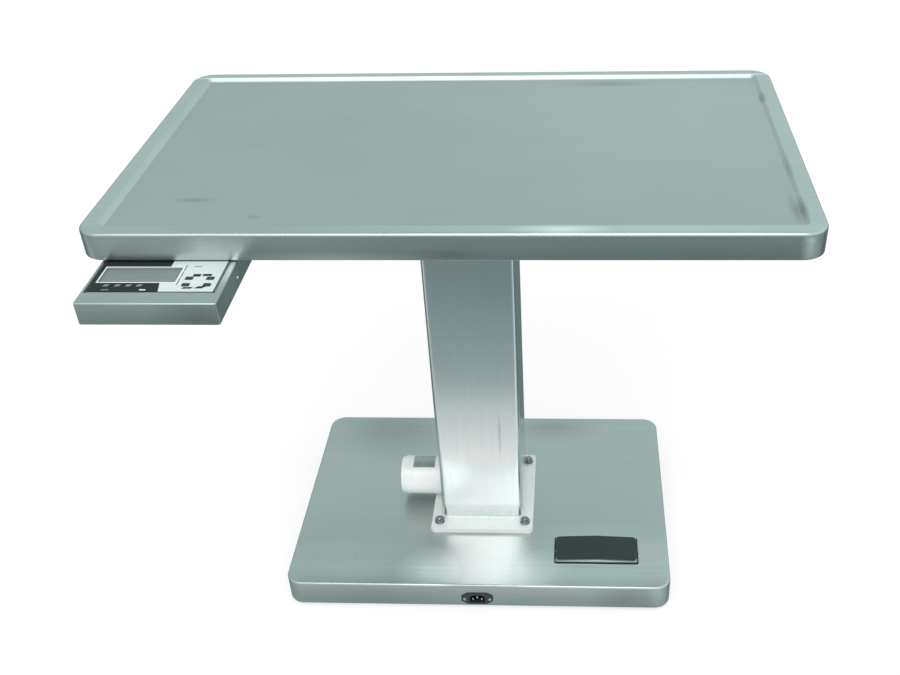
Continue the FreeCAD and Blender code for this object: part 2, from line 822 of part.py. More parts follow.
# ---------------------------------------------------------------- pedal
def pedal_bracket():
    body = new_body("pedal_bracket")
    sketch = new_sketch(body, "YZ", (PEDAL_X, PEDAL_Y, "0"))
    skin = "pedal_bracket_skin"
    inside = "(pedal_depth / 2 + pedal_gap)"
    outside = f"({inside} + {skin})"
    lip = f"({outside} + pedal_bracket_lip)"
    floor = "pedal_bracket_floor"
    under = f"({RAIL_TOP} - {skin})"
    outline(sketch, [(f"-{outside}", floor), (outside, floor), (outside, under), (lip, under),
                     (lip, RAIL_TOP), (inside, RAIL_TOP), (inside, PEDAL_FLOOR),
                     (f"-{inside}", PEDAL_FLOOR), (f"-{inside}", RAIL_TOP),
                     (f"-{lip}", RAIL_TOP), (f"-{lip}", under), (f"-{outside}", under)])
    pad(body, sketch, "pedal_bracket_length", BOTH_WAYS)
    drill(body, (PEDAL_X, PEDAL_Y, PEDAL_PIN_HEIGHT), "(pedal_pin_radius + running_clearance)",
          "(pedal_depth + 2 * pedal_gap + 4 * pedal_bracket_skin)", "XZ", BOTH_WAYS)


def pedal_pin():
    body = new_body("pedal_pin")
    disc(body, (PEDAL_X, PEDAL_Y, PEDAL_PIN_HEIGHT), "pedal_pin_radius",
         "(pedal_depth + 2 * (pedal_gap + pedal_bracket_skin + pedal_pin_overhang))",
         "XZ", BOTH_WAYS)


def pedal_roof(low, high, half):
    """Outline of a strip that follows the pedal plate's two slopes out to x = half."""
    end = f"pedal_ridge * (1 - {half} / (pedal_width / 2))"
    return [(f"-{half}", f"{low} + {end}"), ("0", f"{low} + pedal_ridge"),
            (half, f"{low} + {end}"), (half, f"{high} + {end}"),
            ("0", f"{high} + pedal_ridge"), (f"-{half}", f"{high} + {end}")]


def pedal_plate():
    body = new_body("pedal_plate")
    half = "(pedal_width / 2)"
    roof = new_sketch(body, "XZ", (PEDAL_X, PEDAL_Y, PEDAL_END_TOP))
    outline(roof, pedal_roof("-pedal_plate_thickness", "0", half))
    pad(body, roof, "pedal_depth", BOTH_WAYS)
    ear = "(pedal_ear_width / 2)"
    tip = "(pedal_ear_foot / 2)"
    for side, direction in (("-1", FORWARD), ("1", BACKWARD)):
        flange = new_sketch(body, "XZ", (PEDAL_X, f"({PEDAL_Y} + {side} * pedal_depth / 2)",
                                         PEDAL_END_TOP))
        outline(flange, [(f"-{half}", "-pedal_flange"), (f"-{ear}", "-pedal_flange"),
                         (f"-{tip}", "-pedal_ear_drop"), (tip, "-pedal_ear_drop"),
                         (ear, "-pedal_flange"), (half, "-pedal_flange"), (half, "0"),
                         ("0", "pedal_ridge"), (f"-{half}", "0")])
        pad(body, flange, "pedal_plate_thickness", direction)
    drill(body, (PEDAL_X, PEDAL_Y, PEDAL_PIN_HEIGHT), "(pedal_pin_radius + running_clearance)",
          "(2 * pedal_depth)", "XZ", BOTH_WAYS)
    stud_bottom = f"({PEDAL_FLOOR} + switch_height + plunger_height + contact_gap)"
    for side in ("-1", "1"):
        prism(body, (*switch_place(side), stud_bottom), "contact_width",
              f"({PEDAL_END_TOP} - {stud_bottom})")


def pedal_pad():
    body = new_body("pedal_pad")
    depth = "(pedal_depth - pedal_bare_strip - pedal_pad_margin)"
    middle = f"({PEDAL_Y} + (pedal_bare_strip - pedal_pad_margin) / 2)"
    roof = new_sketch(body, "XZ", (PEDAL_X, middle, PEDAL_END_TOP))
    outline(roof, pedal_roof("0", "pedal_pad_thickness", "(pedal_width / 2 - pedal_pad_margin)"))
    strip = pad(body, roof, depth, BOTH_WAYS)
    dress_edges(body, strip, "Fillet", "pedal_pad_corner",
                lambda edge: abs(edge.Vertexes[0].X - edge.Vertexes[-1].X) < 1e-6
                and abs(edge.Vertexes[0].Y - edge.Vertexes[-1].Y) < 1e-6)


def switch_place(side):
    return (f"({PEDAL_X} + {side} * switch_spread / 2)", PEDAL_Y)


def pedal_switches():
    body = new_body("pedal_switches")
    top = f"({PEDAL_FLOOR} + switch_height)"
    for side in ("-1", "1"):
        block(body, (*switch_place(side), PEDAL_FLOOR), "switch_width", "switch_depth",
              "switch_height")
        bore = "(plunger_width + 2 * running_clearance)"
        hollow(body, (*switch_place(side), top), bore, bore,
               "(plunger_depth + plunger_travel)", direction=BACKWARD)


def pedal_plungers():
    for name, side in (("pedal_plunger_left", "-1"), ("pedal_plunger_right", "1")):
        body = new_body(name)
        block(body, (*switch_place(side), f"({PEDAL_FLOOR} + switch_height - plunger_depth)"),
              "plunger_width", "plunger_width", "(plunger_depth + plunger_height)")


def pedal_springs():
    """Two bent leaves, from a foot on the bracket's floor to a crest under the plate."""
    body = new_body("pedal_springs")
    plate_under = f"({PEDAL_END_TOP} - pedal_plate_thickness - {PEDAL_FLOOR})"
    slope = "(1 - spring_crest / (pedal_width / 2))"
    crest = f"({plate_under} + pedal_ridge * {slope} - spring_seat_gap)"
    skin = "spring_thickness"
    for side in ("-1", "1"):
        sketch = new_sketch(body, "XZ", (PEDAL_X, f"({PEDAL_Y} - spring_offset)", PEDAL_FLOOR))
        points = [("spring_foot", "0"), ("spring_bend", "0"), ("spring_crest", f"{crest} - {skin}"),
                  ("spring_tip", f"{crest} - {skin} - spring_tip_drop"),
                  ("spring_tip", f"{crest} - spring_tip_drop"), ("spring_crest", crest),
                  ("spring_bend", skin), ("spring_foot", skin)]
        outline(sketch, [(f"{side} * {x}", z) for x, z in points])
        pad(body, sketch, "spring_width", BOTH_WAYS)


# ---------------------------------------------------------------- column
def column_flange():
    body = new_body("column_flange")
    block(body, ("0", "0", BASE_TOP), "flange_width", "flange_depth", "flange_thickness",
          "flange_corner", clipped=True)
    bore = "(bolt_neck + 2 * bolt_clearance)"
    hole = hollow(body, ("bolt_spread_x / 2", "bolt_spread_y / 2", BASE_TOP), bore, bore,
                  "flange_thickness")
    slot = hollow(body, ("-wire_hole_x", "-wire_hole_y", BASE_TOP), "wire_slot_width",
                  "wire_slot_depth", "flange_thickness")
    mirror(body, [hole], "YZ", "XZ")


def outer_column():
    body = new_body("outer_column")
    tube_between(body, "XY", ("0", "0", FLANGE_TOP),
                 ("column_width", "column_width", "column_corner"),
                 (COLUMN_BORE, COLUMN_BORE, "(column_corner - column_wall)"),
                 f"({COLUMN_TOP} - {FLANGE_TOP})")
    drill(body, ("-column_width / 2", "0", MOTOR_AXIS),
          "(motor_diameter / 2 + motor_hole_gap)", "column_wall", "YZ")


def guide_collar():
    body = new_body("guide_collar")
    opening = (GUIDE_OPENING, GUIDE_OPENING, "(inner_corner / 2)", True)
    tube_between(body, "XY", ("0", "0", COLUMN_TOP),
                 ("column_width", "column_width", "column_corner"), opening, "collar_lip")
    tube_between(body, "XY", ("0", "0", COLUMN_TOP),
                 (COLUMN_BORE, COLUMN_BORE, "(column_corner - column_wall)", True), opening,
                 "collar_depth", BACKWARD)


def flange_bolts():
    """Square-necked studs that stand on the anchor plate, each with washer and nut."""
    body = new_body("flange_bolts")
    place = ("bolt_spread_x / 2", "bolt_spread_y / 2")
    washer = disc(body, (*place, FLANGE_TOP), "washer_radius", "washer_thickness")
    head = prism(body, (*place, f"({FLANGE_TOP} + washer_thickness)"), "bolt_head_width",
                 "bolt_head_height")
    stud = block(body, (*place, FLANGE_TOP), "bolt_neck", "bolt_neck", "flange_thickness",
                 direction=BACKWARD)
    mirror(body, [washer, head, stud], "YZ", "XZ")


def motor_housing():
    body = new_body("motor_housing")
    disc(body, (f"-{GEARBOX_SIDE}", "0", MOTOR_AXIS), "(motor_diameter / 2)",
         f"(motor_reach - {GEARBOX_SIDE})", "YZ", BACKWARD)


def motor_end_cap():
    body = new_body("motor_end_cap")
    disc(body, ("-motor_reach", "0", MOTOR_AXIS), "(motor_diameter / 2 - motor_cap_step)",
         "motor_cap", "YZ", BACKWARD)


def gearbox_housing():
    body = new_body("gearbox_housing")
    block(body, ("0", "0", FLANGE_TOP), "gearbox_width", "gearbox_depth", "gearbox_height",
          "gearbox_corner", clipped=True)
    block(body, ("0", "0", GEARBOX_TOP), "neck_width", "neck_width", "neck_height",
          "gearbox_corner", clipped=True)
    hollow(body, ("0", "0", NECK_TOP), "bearing_width", "bearing_width",
           "(bearing_height + bearing_seat)", direction=BACKWARD)


def screw_bearing():
    body = new_body("screw_bearing")
    block(body, ("0", "0", BEARING_BOTTOM), "bearing_width", "bearing_width",
          "bearing_height")
    drill(body, ("0", "0", BEARING_BOTTOM), "(journal_radius + running_clearance)",
          "bearing_height")


def actuator_tube():
    body = new_body("actuator_tube")
    ring(body, ("0", "0", NECK_TOP), "tube_radius", "(tube_radius - tube_wall)",
         f"({TUBE_TOP} - {NECK_TOP})")


def tube_bush():
    body = new_body("tube_bush")
    ring(body, ("0", "0", BUSH_BOTTOM), "(tube_radius - tube_wall)",
         "(rod_radius + running_clearance)", "bush_length")


def lift_screw():
    body = new_body("lift_screw")
    sketch = new_sketch(body, "XZ")
    foot = f"({BEARING_BOTTOM} + slide_clearance)"
    collar_top = f"({SCREW_COLLAR_BOTTOM} + screw_collar_height)"
    outline(sketch, [("0", foot), ("journal_radius", foot),
                     ("journal_radius", SCREW_COLLAR_BOTTOM),
                     ("screw_collar", SCREW_COLLAR_BOTTOM), ("screw_collar", collar_top),
                     ("screw_radius", collar_top),
                     ("screw_radius", f"{SCREW_TOP} - screw_tip"),
                     ("screw_radius - screw_tip", SCREW_TOP), ("0", SCREW_TOP)])
    revolve(body, sketch)


# ---------------------------------------------------------------- lift
def lift_nut():
    body = new_body("lift_nut")
    prism(body, ("0", "0", NUT_BOTTOM), "nut_width", "nut_length")
    drill(body, ("0", "0", NUT_BOTTOM), "(screw_radius + running_clearance)", "nut_length")


def push_rod():
    body = new_body("push_rod")
    disc(body, ("0", "0", ROD_BOTTOM), "rod_radius", f"({HEAD_BOTTOM} - {ROD_BOTTOM})")
    drill(body, ("0", "0", ROD_BOTTOM), "rod_bore",
          f"({HEAD_BOTTOM} - {ROD_BOTTOM} - rod_end)")


def rod_bracket():
    """The socket under the head plate that holds the push rod's end."""
    body = new_body("rod_bracket")
    block(body, ("0", "0", HEAD_BOTTOM), "bracket_width", "bracket_width", "bracket_height",
          "bracket_corner", direction=BACKWARD, clipped=True)
    drill(body, ("0", "0", HEAD_BOTTOM), "(rod_radius + running_clearance)",
          "bracket_height", direction=BACKWARD)


def inner_column():
    body = new_body("inner_column")
    bore = "(inner_width - 2 * inner_wall)"
    tube_between(body, "XY", ("0", "0", INNER_BOTTOM),
                 ("inner_width", "inner_width", "inner_corner"),
                 (bore, bore, "(inner_corner - inner_wall)"),
                 f"({HEAD_BOTTOM} - {INNER_BOTTOM})")


def glide_pads():
    body = new_body("glide_pads")
    thickness = f"(({COLUMN_BORE} - inner_width) / 2 - slide_clearance)"
    height = f"({INNER_BOTTOM} + glide_rise + glide_height / 2)"
    glide = block(body, ("inner_width / 2", "0", height), "glide_width", "glide_height",
                  thickness, "glide_corner", "YZ", clipped=True)
    around_z(body, [glide], 4)


def head_plate():
    body = new_body("head_plate")
    block(body, ("0", "0", HEAD_BOTTOM), "head_plate_size", "head_plate_size",
          "head_plate_thickness", "head_plate_corner", clipped=True)


def frame_tube(body, plane, at, length):
    bore = "2 * frame_wall"
    return tube_between(body, plane, at, ("frame_rail_width", "frame_rail_height"),
                        (f"(frame_rail_width - {bore})", f"(frame_rail_height - {bore})"),
                        length, BOTH_WAYS)


def table_long_rails():
    body = new_body("table_long_rails")
    middle = f"({FRAME_BOTTOM} + frame_rail_height / 2)"
    features = [frame_tube(body, "YZ", ("0", f"-{LONG_RAIL_Y}", middle), LONG_RAIL_LENGTH)]
    for side in ("-1", "1"):
        wall = (f"{side} * cell_lead_spacing", f"(-{LONG_RAIL_Y} + frame_rail_width / 2)",
                middle)
        features.append(hollow(body, wall, "(4 * cell_lead_radius)", "(4 * cell_lead_radius)",
                               "frame_wall", plane="XZ", direction=BACKWARD))
    mirror(body, features, "XZ")


def table_cross_rails():
    body = new_body("table_cross_rails")
    middle = f"({FRAME_BOTTOM} + frame_rail_height / 2)"
    tube = frame_tube(body, "XZ", (CROSS_RAIL_X, "0", middle),
                      f"(2 * {LONG_RAIL_Y} - frame_rail_width)")
    mirror(body, [tube], "YZ")


def load_cells():
    """Bending beams, each with a window that leaves two thin flexures above and below."""
    body = new_body("load_cells")
    height = f"({CELL_TOP} - {CELL_BOTTOM})"
    beam_sketch = new_sketch(body, "XZ", (CELL_INNER_X, f"-{LONG_RAIL_Y}", CELL_BOTTOM))
    rectangle(beam_sketch, "0", "cell_length", "0", height)
    beam = pad(body, beam_sketch, "cell_width", BOTH_WAYS)
    start = f"({CELL_INNER_X} + cell_insert + cell_window_start)"
    window = hollow(body, (f"({start} + cell_window_length / 2)", f"-{LONG_RAIL_Y}",
                           f"({CELL_BOTTOM} + {height} / 2)"),
                    "cell_window_length", "cell_window_height", "cell_width",
                    "cell_window_corner", "XZ", BOTH_WAYS, clipped=True)
    mirror(body, [beam, window], "YZ", "XZ")


def load_cell_feet():
    """Standoffs on the load cells' free ends, with tapered rubber caps under the pan."""
    body = new_body("load_cell_feet")
    place = (CELL_FOOT_X, f"-{LONG_RAIL_Y}")
    high = f"({PAN_UNDERSIDE} - {CELL_TOP})"
    standoff = prism(body, (*place, CELL_TOP), "cell_foot_width", f"({high} - cell_foot_cap)",
                     sides=8)
    cap = prism(body, (*place, f"({PAN_UNDERSIDE} - cell_foot_cap)"), "cell_foot_width",
                "cell_foot_cap", sides=8, taper="-cell_foot_taper")
    mirror(body, [standoff, cap], "YZ", "XZ")


def table_pan():
    body = new_body("table_pan")
    path = new_sketch(body, "XY", ("0", "0", "table_height"))
    centred(path, "table_width", "table_depth", "table_corner")
    profile = new_sketch(body, "YZ", ("0", "-table_depth / 2", "table_height"))
    skin, fold, skirt = "pan_skin", "pan_fold", "table_skirt"
    foot = "(pan_land + pan_slope)"
    floor = "(pan_depth + pan_skin)"
    outline(profile,
            [*fold_flats(fold), ("pan_land", "0"), (foot, "-pan_depth"),
             (f"{foot} + {skin}", "-pan_depth"), (f"{foot} + {skin}", f"-{floor}"),
             (f"{foot} - {skin} / 2", f"-{floor}"), (f"pan_land - {skin} / 2", f"-{skin}"),
             (fold, f"-{skin}"), (skin, f"-{fold}"), (skin, f"-{skirt} + {skin}"),
             ("pan_hem", f"-{skirt} + {skin}"), ("pan_hem", f"-{skirt}"), ("0", f"-{skirt}")])
    sweep(body, profile, path)
    inset = f"({foot} + {skin} / 2)"
    block(body, ("0", "0", PAN_UNDERSIDE), f"(table_width - 2 * {inset})",
          f"(table_depth - 2 * {inset})", "pan_skin", f"(table_corner - {inset})")


def pan_stiffeners():
    body = new_body("pan_stiffeners")
    sketch = new_sketch(body, "YZ", ("0", "stiffener_spread / 2", PAN_UNDERSIDE))
    half = "(stiffener_width / 2)"
    web = f"({half} / 2)"
    skin = "pan_skin"
    low = "stiffener_height"
    outline(sketch, [(f"-{half}", "0"), (f"-{half}", f"-{skin}"), (f"-{web}", f"-{skin}"),
                     (f"-{web}", f"-{low}"), (web, f"-{low}"), (web, f"-{skin}"),
                     (half, f"-{skin}"), (half, "0"), (f"{web} - {skin}", "0"),
                     (f"{web} - {skin}", f"-{low} + {skin}"),
                     (f"-{web} + {skin}", f"-{low} + {skin}"), (f"-{web} + {skin}", "0")])
    channel = pad(body, sketch, f"(2 * ({CELL_OUTER_X} - stiffener_setback))", BOTH_WAYS)
    mirror(body, [channel], "XZ")


def junction_box():
    body = new_body("junction_box")
    block(body, ("0", "junction_place", FRAME_BOTTOM), "junction_width",
          "junction_depth", "junction_height", "junction_corner", clipped=True)


# ---------------------------------------------------------------- runners and tray
def runner_frame():
    body = new_body("runner_frame")
    sketch = new_sketch(body, "XZ", (TRAY_X, RUNNER_FRONT, "0"))
    inside = "(tray_width / 2 + runner_room)"
    outside = f"({inside} + runner_plate)"
    under = f"({FRAME_BOTTOM} - runner_plate)"
    foot = f"({RUNNER_HEIGHT} - runner_leg_margin)"
    outline(sketch, [(f"-{outside}", foot), (f"-{inside}", foot), (f"-{inside}", under),
                     (inside, under), (inside, foot), (outside, foot),
                     (outside, FRAME_BOTTOM), (f"-{outside}", FRAME_BOTTOM)])
    pad(body, sketch, "runner_length")


def runner_channels():
    """C-shaped channels inside the frame's legs, open towards the tray, closed by a stop."""
    body = new_body("runner_channels")
    skin = "runner_channel_skin"
    inner_high = "(slide_height / 2 + slide_clearance)"
    outer_high = f"({inner_high} + {skin})"
    back = "(tray_width / 2 + runner_room)"
    web = f"({back} - {skin})"
    mouth = "(tray_width / 2 + runner_mouth_gap)"
    for side in ("-1", "1"):
        sketch = new_sketch(body, "XZ", (TRAY_X, RUNNER_FRONT, RUNNER_HEIGHT))
        points = [(back, f"-{outer_high}"), (back, outer_high), (mouth, outer_high),
                  (mouth, inner_high), (web, inner_high), (web, f"-{inner_high}"),
                  (mouth, f"-{inner_high}"), (mouth, f"-{outer_high}")]
        outline(sketch, [(f"{side} * {x}", y) for x, y in points])
        pad(body, sketch, "runner_length")
        for end, direction in ((RUNNER_FRONT, FORWARD),
                               (f"({RUNNER_FRONT} + runner_length)", BACKWARD)):
            stop = new_sketch(body, "XZ", (TRAY_X, end, RUNNER_HEIGHT))
            near = f"{side} * ({web} - runner_stop_width)"
            far = f"{side} * {back}"
            low, high = (near, far) if side == "1" else (far, near)
            rectangle(stop, low, high, f"-{outer_high}", outer_high)
            pad(body, stop, skin, direction)


def runner_slides():
    body = new_body("runner_slides")
    start = f"({RUNNER_FRONT} + runner_channel_skin + slide_clearance)"
    reach = "(runner_room - runner_channel_skin - slide_clearance)"
    for side, direction in (("-1", BACKWARD), ("1", FORWARD)):
        sketch = new_sketch(body, "YZ", (f"({TRAY_X} + {side} * tray_width / 2)", start,
                                         RUNNER_HEIGHT))
        rectangle(sketch, "0", "slide_length", "-slide_height / 2", "slide_height / 2")
        pad(body, sketch, reach, direction)


def tray_shell():
    body = new_body("tray_shell")
    middle = f"({TRAY_FRONT} + tray_depth / 2)"
    outer = block(body, (TRAY_X, middle, TRAY_BOTTOM), "tray_width", "tray_depth",
                  "tray_height", "tray_corner")
    dress_edges(body, outer, "Chamfer", "tray_fold", at_height(TRAY_TOP))
    hollow(body, (TRAY_X, middle, f"({TRAY_BOTTOM} + tray_skin)"),
           "(tray_width - 2 * tray_skin)", "(tray_depth - 2 * tray_skin)",
           "(tray_height - 2 * tray_skin)", "tray_corner", clipped=True)
    hollow(body, indicator_centre(TRAY_TOP), "(indicator_width + 2 * indicator_gap)",
           "(indicator_depth + 2 * indicator_gap)", "(2 * tray_skin)",
           "(indicator_corner + indicator_gap / 2)", direction=BACKWARD, clipped=True)
    hollow(body, (TRAY_X, TRAY_BACK, RUNNER_HEIGHT), "tray_lead_width", "tray_lead_height",
           "tray_skin", plane="XZ", direction=BACKWARD)


# ---------------------------------------------------------------- indicator
def indicator_centre(height):
    return (INDICATOR_X, f"({INDICATOR_FRONT} + indicator_depth / 2)", height)


def indicator_case():
    body = new_body("indicator_case")
    wall = "2 * case_wall"
    height = f"({BEZEL_BOTTOM} - {CASE_BOTTOM})"
    block(body, indicator_centre(CASE_BOTTOM), "indicator_width", "indicator_depth",
          height, "indicator_corner", clipped=True)
    hollow(body, indicator_centre(f"({CASE_BOTTOM} + case_wall)"),
           f"(indicator_width - {wall})", f"(indicator_depth - {wall})", height)
    for side in ("-1", "1"):
        x, y, z = indicator_centre(CASE_BOTTOM)
        block(body, (f"({x} + {side} * case_rib_spread / 2)", y, z), "case_rib",
              "(indicator_depth - case_wall)", f"({BOARD_BOTTOM} - {CASE_BOTTOM})")


def key_places():
    """Name and centre of each key, left to right and front to back."""
    for row, y_side in (("front", "-1"), ("back", "1")):
        for column, x_side in (("left", "-1"), ("right", "1")):
            yield (f"key_{row}_{column}", f"({KEY_X} + {x_side} * key_pitch_x / 2)",
                   f"({KEY_Y} + {y_side} * key_pitch_y / 2)")


def panel_openings(body, top, depth):
    """The window opening and the four key openings through bezel or overlay."""
    hollow(body, (f"({WINDOW_LEFT} + window_width / 2)", f"({WINDOW_BACK} - window_depth / 2)",
                  top), "window_width", "window_depth", depth, direction=BACKWARD)
    for name, x, y in key_places():
        hollow(body, (x, y, top), "(key_width + 2 * key_clearance)",
               "(key_depth + 2 * key_clearance)", depth, direction=BACKWARD)


def indicator_bezel():
    body = new_body("indicator_bezel")
    block(body, indicator_centre(BEZEL_TOP), "indicator_width", "indicator_depth",
          "bezel_thickness", "indicator_corner", direction=BACKWARD, clipped=True)
    panel_openings(body, BEZEL_TOP, "bezel_thickness")


def indicator_overlay():
    body = new_body("indicator_overlay")
    margin = "2 * overlay_margin"
    block(body, indicator_centre(OVERLAY_TOP), f"(indicator_width - {margin})",
          f"(indicator_depth - {margin})", "overlay_thickness",
          "(indicator_corner - overlay_margin / 2)", direction=BACKWARD, clipped=True)
    panel_openings(body, OVERLAY_TOP, "overlay_thickness")


def window_centre(height):
    return (f"({WINDOW_LEFT} + window_width / 2)", f"({WINDOW_BACK} - window_depth / 2)",
            height)


def display_window():
    body = new_body("display_window")
    block(body, window_centre(BEZEL_BOTTOM), "(window_width - 2 * window_fit)",
          "(window_depth - 2 * window_fit)", f"({BEZEL_TOP} - {BEZEL_BOTTOM})")


def display_module():
    body = new_body("display_module")
    block(body, window_centre(BEZEL_BOTTOM), "(window_width + 2 * display_border)",
          "(window_depth + 2 * display_border)", "board_drop", direction=BACKWARD)


def circuit_board():
    body = new_body("circuit_board")
    inset = "2 * (case_wall + board_margin)"
    block(body, indicator_centre(BOARD_TOP), f"(indicator_width - {inset})",
          f"(indicator_depth - {inset})", "board_thickness", direction=BACKWARD)
    for name, x, y in key_places():
        block(body, (x, y, BOARD_TOP), "tact_width", "tact_width", "tact_height")


def keys():
    for name, x, y in key_places():
        body = new_body(name)
        flange_top = f"({BEZEL_BOTTOM} - key_clearance)"
        cap_top = f"({OVERLAY_TOP} + key_stand)"
        block(body, (x, y, cap_top), "key_width", "key_depth", f"({cap_top} - {flange_top})",
              "key_corner", direction=BACKWARD, clipped=True)
        block(body, (x, y, flange_top), "(key_width + 2 * key_flange)",
              "(key_depth + 2 * key_flange)", "key_flange_thickness", direction=BACKWARD)
        stem_bottom = f"({BOARD_TOP} + tact_height + key_travel + key_clearance)"
        block(body, (x, y, flange_top), "key_stem", "key_stem",
              f"({flange_top} - {stem_bottom})", direction=BACKWARD)


# ---------------------------------------------------------------- leads

def base_leads():
    """Mains lead, motor lead and the two switch leads inside the base."""
    box_side = f"({CONTROL_LEFT} + control_width)"
    inlet_back = f"({INLET_FACE} - inlet_flange_thickness + inlet_body_depth)"
    mains_y = f"({CONTROL_BACK} - control_depth / 2)"
    mains = [spot("0", inlet_back, "inlet_height"), spot("0", mains_y, "inlet_height"),
             spot(box_side, mains_y, "inlet_height")]
    motor_y = f"({CONTROL_BACK} - lead_bend)"
    motor = [spot(box_side, motor_y, MOTOR_LEAD_HEIGHT),
             spot("-wire_hole_x", motor_y, MOTOR_LEAD_HEIGHT),
             spot("-wire_hole_x", "-wire_hole_y", MOTOR_LEAD_HEIGHT),
             spot("-wire_hole_x", "-wire_hole_y", FLANGE_TOP)]
    leads = [lead(route, value("lead_radius"), value("lead_bend")) for route in (mains, motor)]
    height = f"({PEDAL_FLOOR} + 2 * pedal_lead_radius)"
    for side, extra in (("-1", "0"), ("1", "pedal_lead_spacing")):
        switch_x, switch_y = switch_place(side)
        run_y = f"({PEDAL_Y} + pedal_lead_offset + {extra})"
        route = [spot(switch_x, f"({switch_y} + switch_depth / 2)", height),
                 spot(switch_x, run_y, height), spot(box_side, run_y, height)]
        leads.append(lead(route, value("pedal_lead_radius"), value("pedal_lead_bend")))
    lead_group("base_leads", leads)


def cell_leads():
    """Four leads from the load cells along the long rails to the junction box."""
    radius = value("cell_lead_radius")
    bend = value("lead_bend") / 2
    height = f"({FRAME_BOTTOM} + frame_rail_height / 2)"
    shapes = []
    for y_side, box_wall in (("-1", "junction_place - junction_depth / 2"),
                             ("1", "junction_place + junction_depth / 2")):
        for x_side in ("-1", "1"):
            x = f"{x_side} * cell_lead_spacing"
            y = f"{y_side} * {LONG_RAIL_Y}"
            route = [spot(f"{x_side} * {CELL_INNER_X}", y, height), spot(x, y, height),
                     spot(x, box_wall, height)]
            shapes.append(lead(route, radius, bend))
    lead_group("cell_leads", shapes)


# ---------------------------------------------------------------- build and write
def check_and_write():
    doc.recompute()
    faults = [f"{item.Label}: {state}" for item in doc.Objects for state in item.State
              if state in ("Invalid", "Error")]
    for item in doc.Objects:
        if item.TypeId == "PartDesign::Pocket" and item.BaseFeature is not None:
            if item.Shape.Volume > item.BaseFeature.Shape.Volume - 1e-3:
                faults.append(f"{item.Label}: the pocket cuts nothing")
    for item in sub_parts:
        if item.Shape.isNull() or not item.Shape.isValid() or not item.Shape.Solids:
            faults.append(f"{item.Label}: its shape is missing or not valid")
    if faults:
        raise RuntimeError("; ".join(faults))
    os.makedirs("parts", exist_ok=True)
    for item in sub_parts:
        item.Shape.exportStep(os.path.join("parts", item.Label + ".step"))
    print(len(sub_parts), "sub-parts written")


BUILDERS = (
    base_cover, base_side_rails, base_cross_rails, base_anchor_plate, rubber_feet,
    control_box, inlet_housing, inlet_blades, pedal_bracket, pedal_pin, pedal_plate, pedal_pad,
    pedal_switches, pedal_plungers, pedal_springs, column_flange, outer_column, guide_collar,
    flange_bolts, motor_housing, motor_end_cap, gearbox_housing, screw_bearing, actuator_tube,
    tube_bush, lift_screw, lift_nut, push_rod, rod_bracket, inner_column, glide_pads,
    head_plate, table_long_rails, table_cross_rails, load_cells, load_cell_feet, table_pan,
    pan_stiffeners, junction_box, runner_frame, runner_channels, runner_slides, tray_shell,
    indicator_case, indicator_bezel, indicator_overlay, display_window, display_module,
    circuit_board, keys, base_leads, cell_leads,
)

for build in BUILDERS:
    build()
check_and_write()
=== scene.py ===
import json
import logging
import math
from dataclasses import dataclass
from enum import Enum
from typing import Callable, Iterable, Sequence

import bmesh
import bpy
from mathutils import Matrix, Vector, noise


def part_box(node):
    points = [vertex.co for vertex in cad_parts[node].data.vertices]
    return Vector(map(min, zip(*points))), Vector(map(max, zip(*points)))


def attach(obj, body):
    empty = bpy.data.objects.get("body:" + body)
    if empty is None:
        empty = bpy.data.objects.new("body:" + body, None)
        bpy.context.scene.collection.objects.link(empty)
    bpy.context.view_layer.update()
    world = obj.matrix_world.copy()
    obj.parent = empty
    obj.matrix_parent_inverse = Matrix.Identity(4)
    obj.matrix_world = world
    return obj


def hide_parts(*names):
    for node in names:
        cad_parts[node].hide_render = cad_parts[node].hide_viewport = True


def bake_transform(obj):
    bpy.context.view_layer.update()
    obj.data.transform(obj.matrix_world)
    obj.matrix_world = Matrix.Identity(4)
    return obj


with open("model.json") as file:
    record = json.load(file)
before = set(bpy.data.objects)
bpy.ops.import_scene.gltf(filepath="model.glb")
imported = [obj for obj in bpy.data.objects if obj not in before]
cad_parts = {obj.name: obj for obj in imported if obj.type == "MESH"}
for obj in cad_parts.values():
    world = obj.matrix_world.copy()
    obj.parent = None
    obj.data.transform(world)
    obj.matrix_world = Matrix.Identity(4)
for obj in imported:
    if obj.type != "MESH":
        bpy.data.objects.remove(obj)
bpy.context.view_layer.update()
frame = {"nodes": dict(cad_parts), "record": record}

# Looks of a veterinary exam table with a weighing pan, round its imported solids. Metres; +X to
# the right, +Y away from the user, +Z up, origin on the floor below the column.

LOG = logging.getLogger("exam_table")
Point = tuple[float, float]
Triple = tuple[float, float, float]
Paint = tuple[float, float, float, float]
Edges = tuple[float, float, float, float]
Stops = tuple[Point, ...]
Bar = tuple[float, ...]

SIDES = (-1, 1)
DOWN = (0, 0, -1)
NO_TINT = (1.0, 1.0, 1.0)
WHITE = (1.0, 1.0, 1.0, 1.0)
DUST = (150, 156, 155)
LEAST_RADIUS = 1e-6
LEAST_CORNER = 1e-5
QUARTER = (0.0, 22.5, 45.0, 67.5, 90.0)
FOLD_ANGLES = (15, 30, 45, 60, 75, 90)
BEND_ANGLES = (30, 60, 90)
SHARP_ANGLE = 34.0
UPRIGHT_NORMAL = 0.3
LEVEL_NORMAL = 0.995


def shade(colour: Triple, level: float = 1.0, tint: Triple = NO_TINT) -> Paint:
    """Turn an sRGB colour of 0 to 255 screen levels into linear light.

    Args:
        colour: Red, green and blue levels.
        level: Factor on all three, in linear light.
        tint: Factor on each of the three, in linear light.

    Returns:
        Red, green, blue and an alpha of 1, none above 1.
    """
    shares = (value / 255.0 for value in colour)
    light = (share / 12.92 if share <= 0.04045 else ((share + 0.055) / 1.055) ** 2.4
             for share in shares)
    return (*(min(1.0, value * level * factor) for value, factor in zip(light, tint)), 1.0)


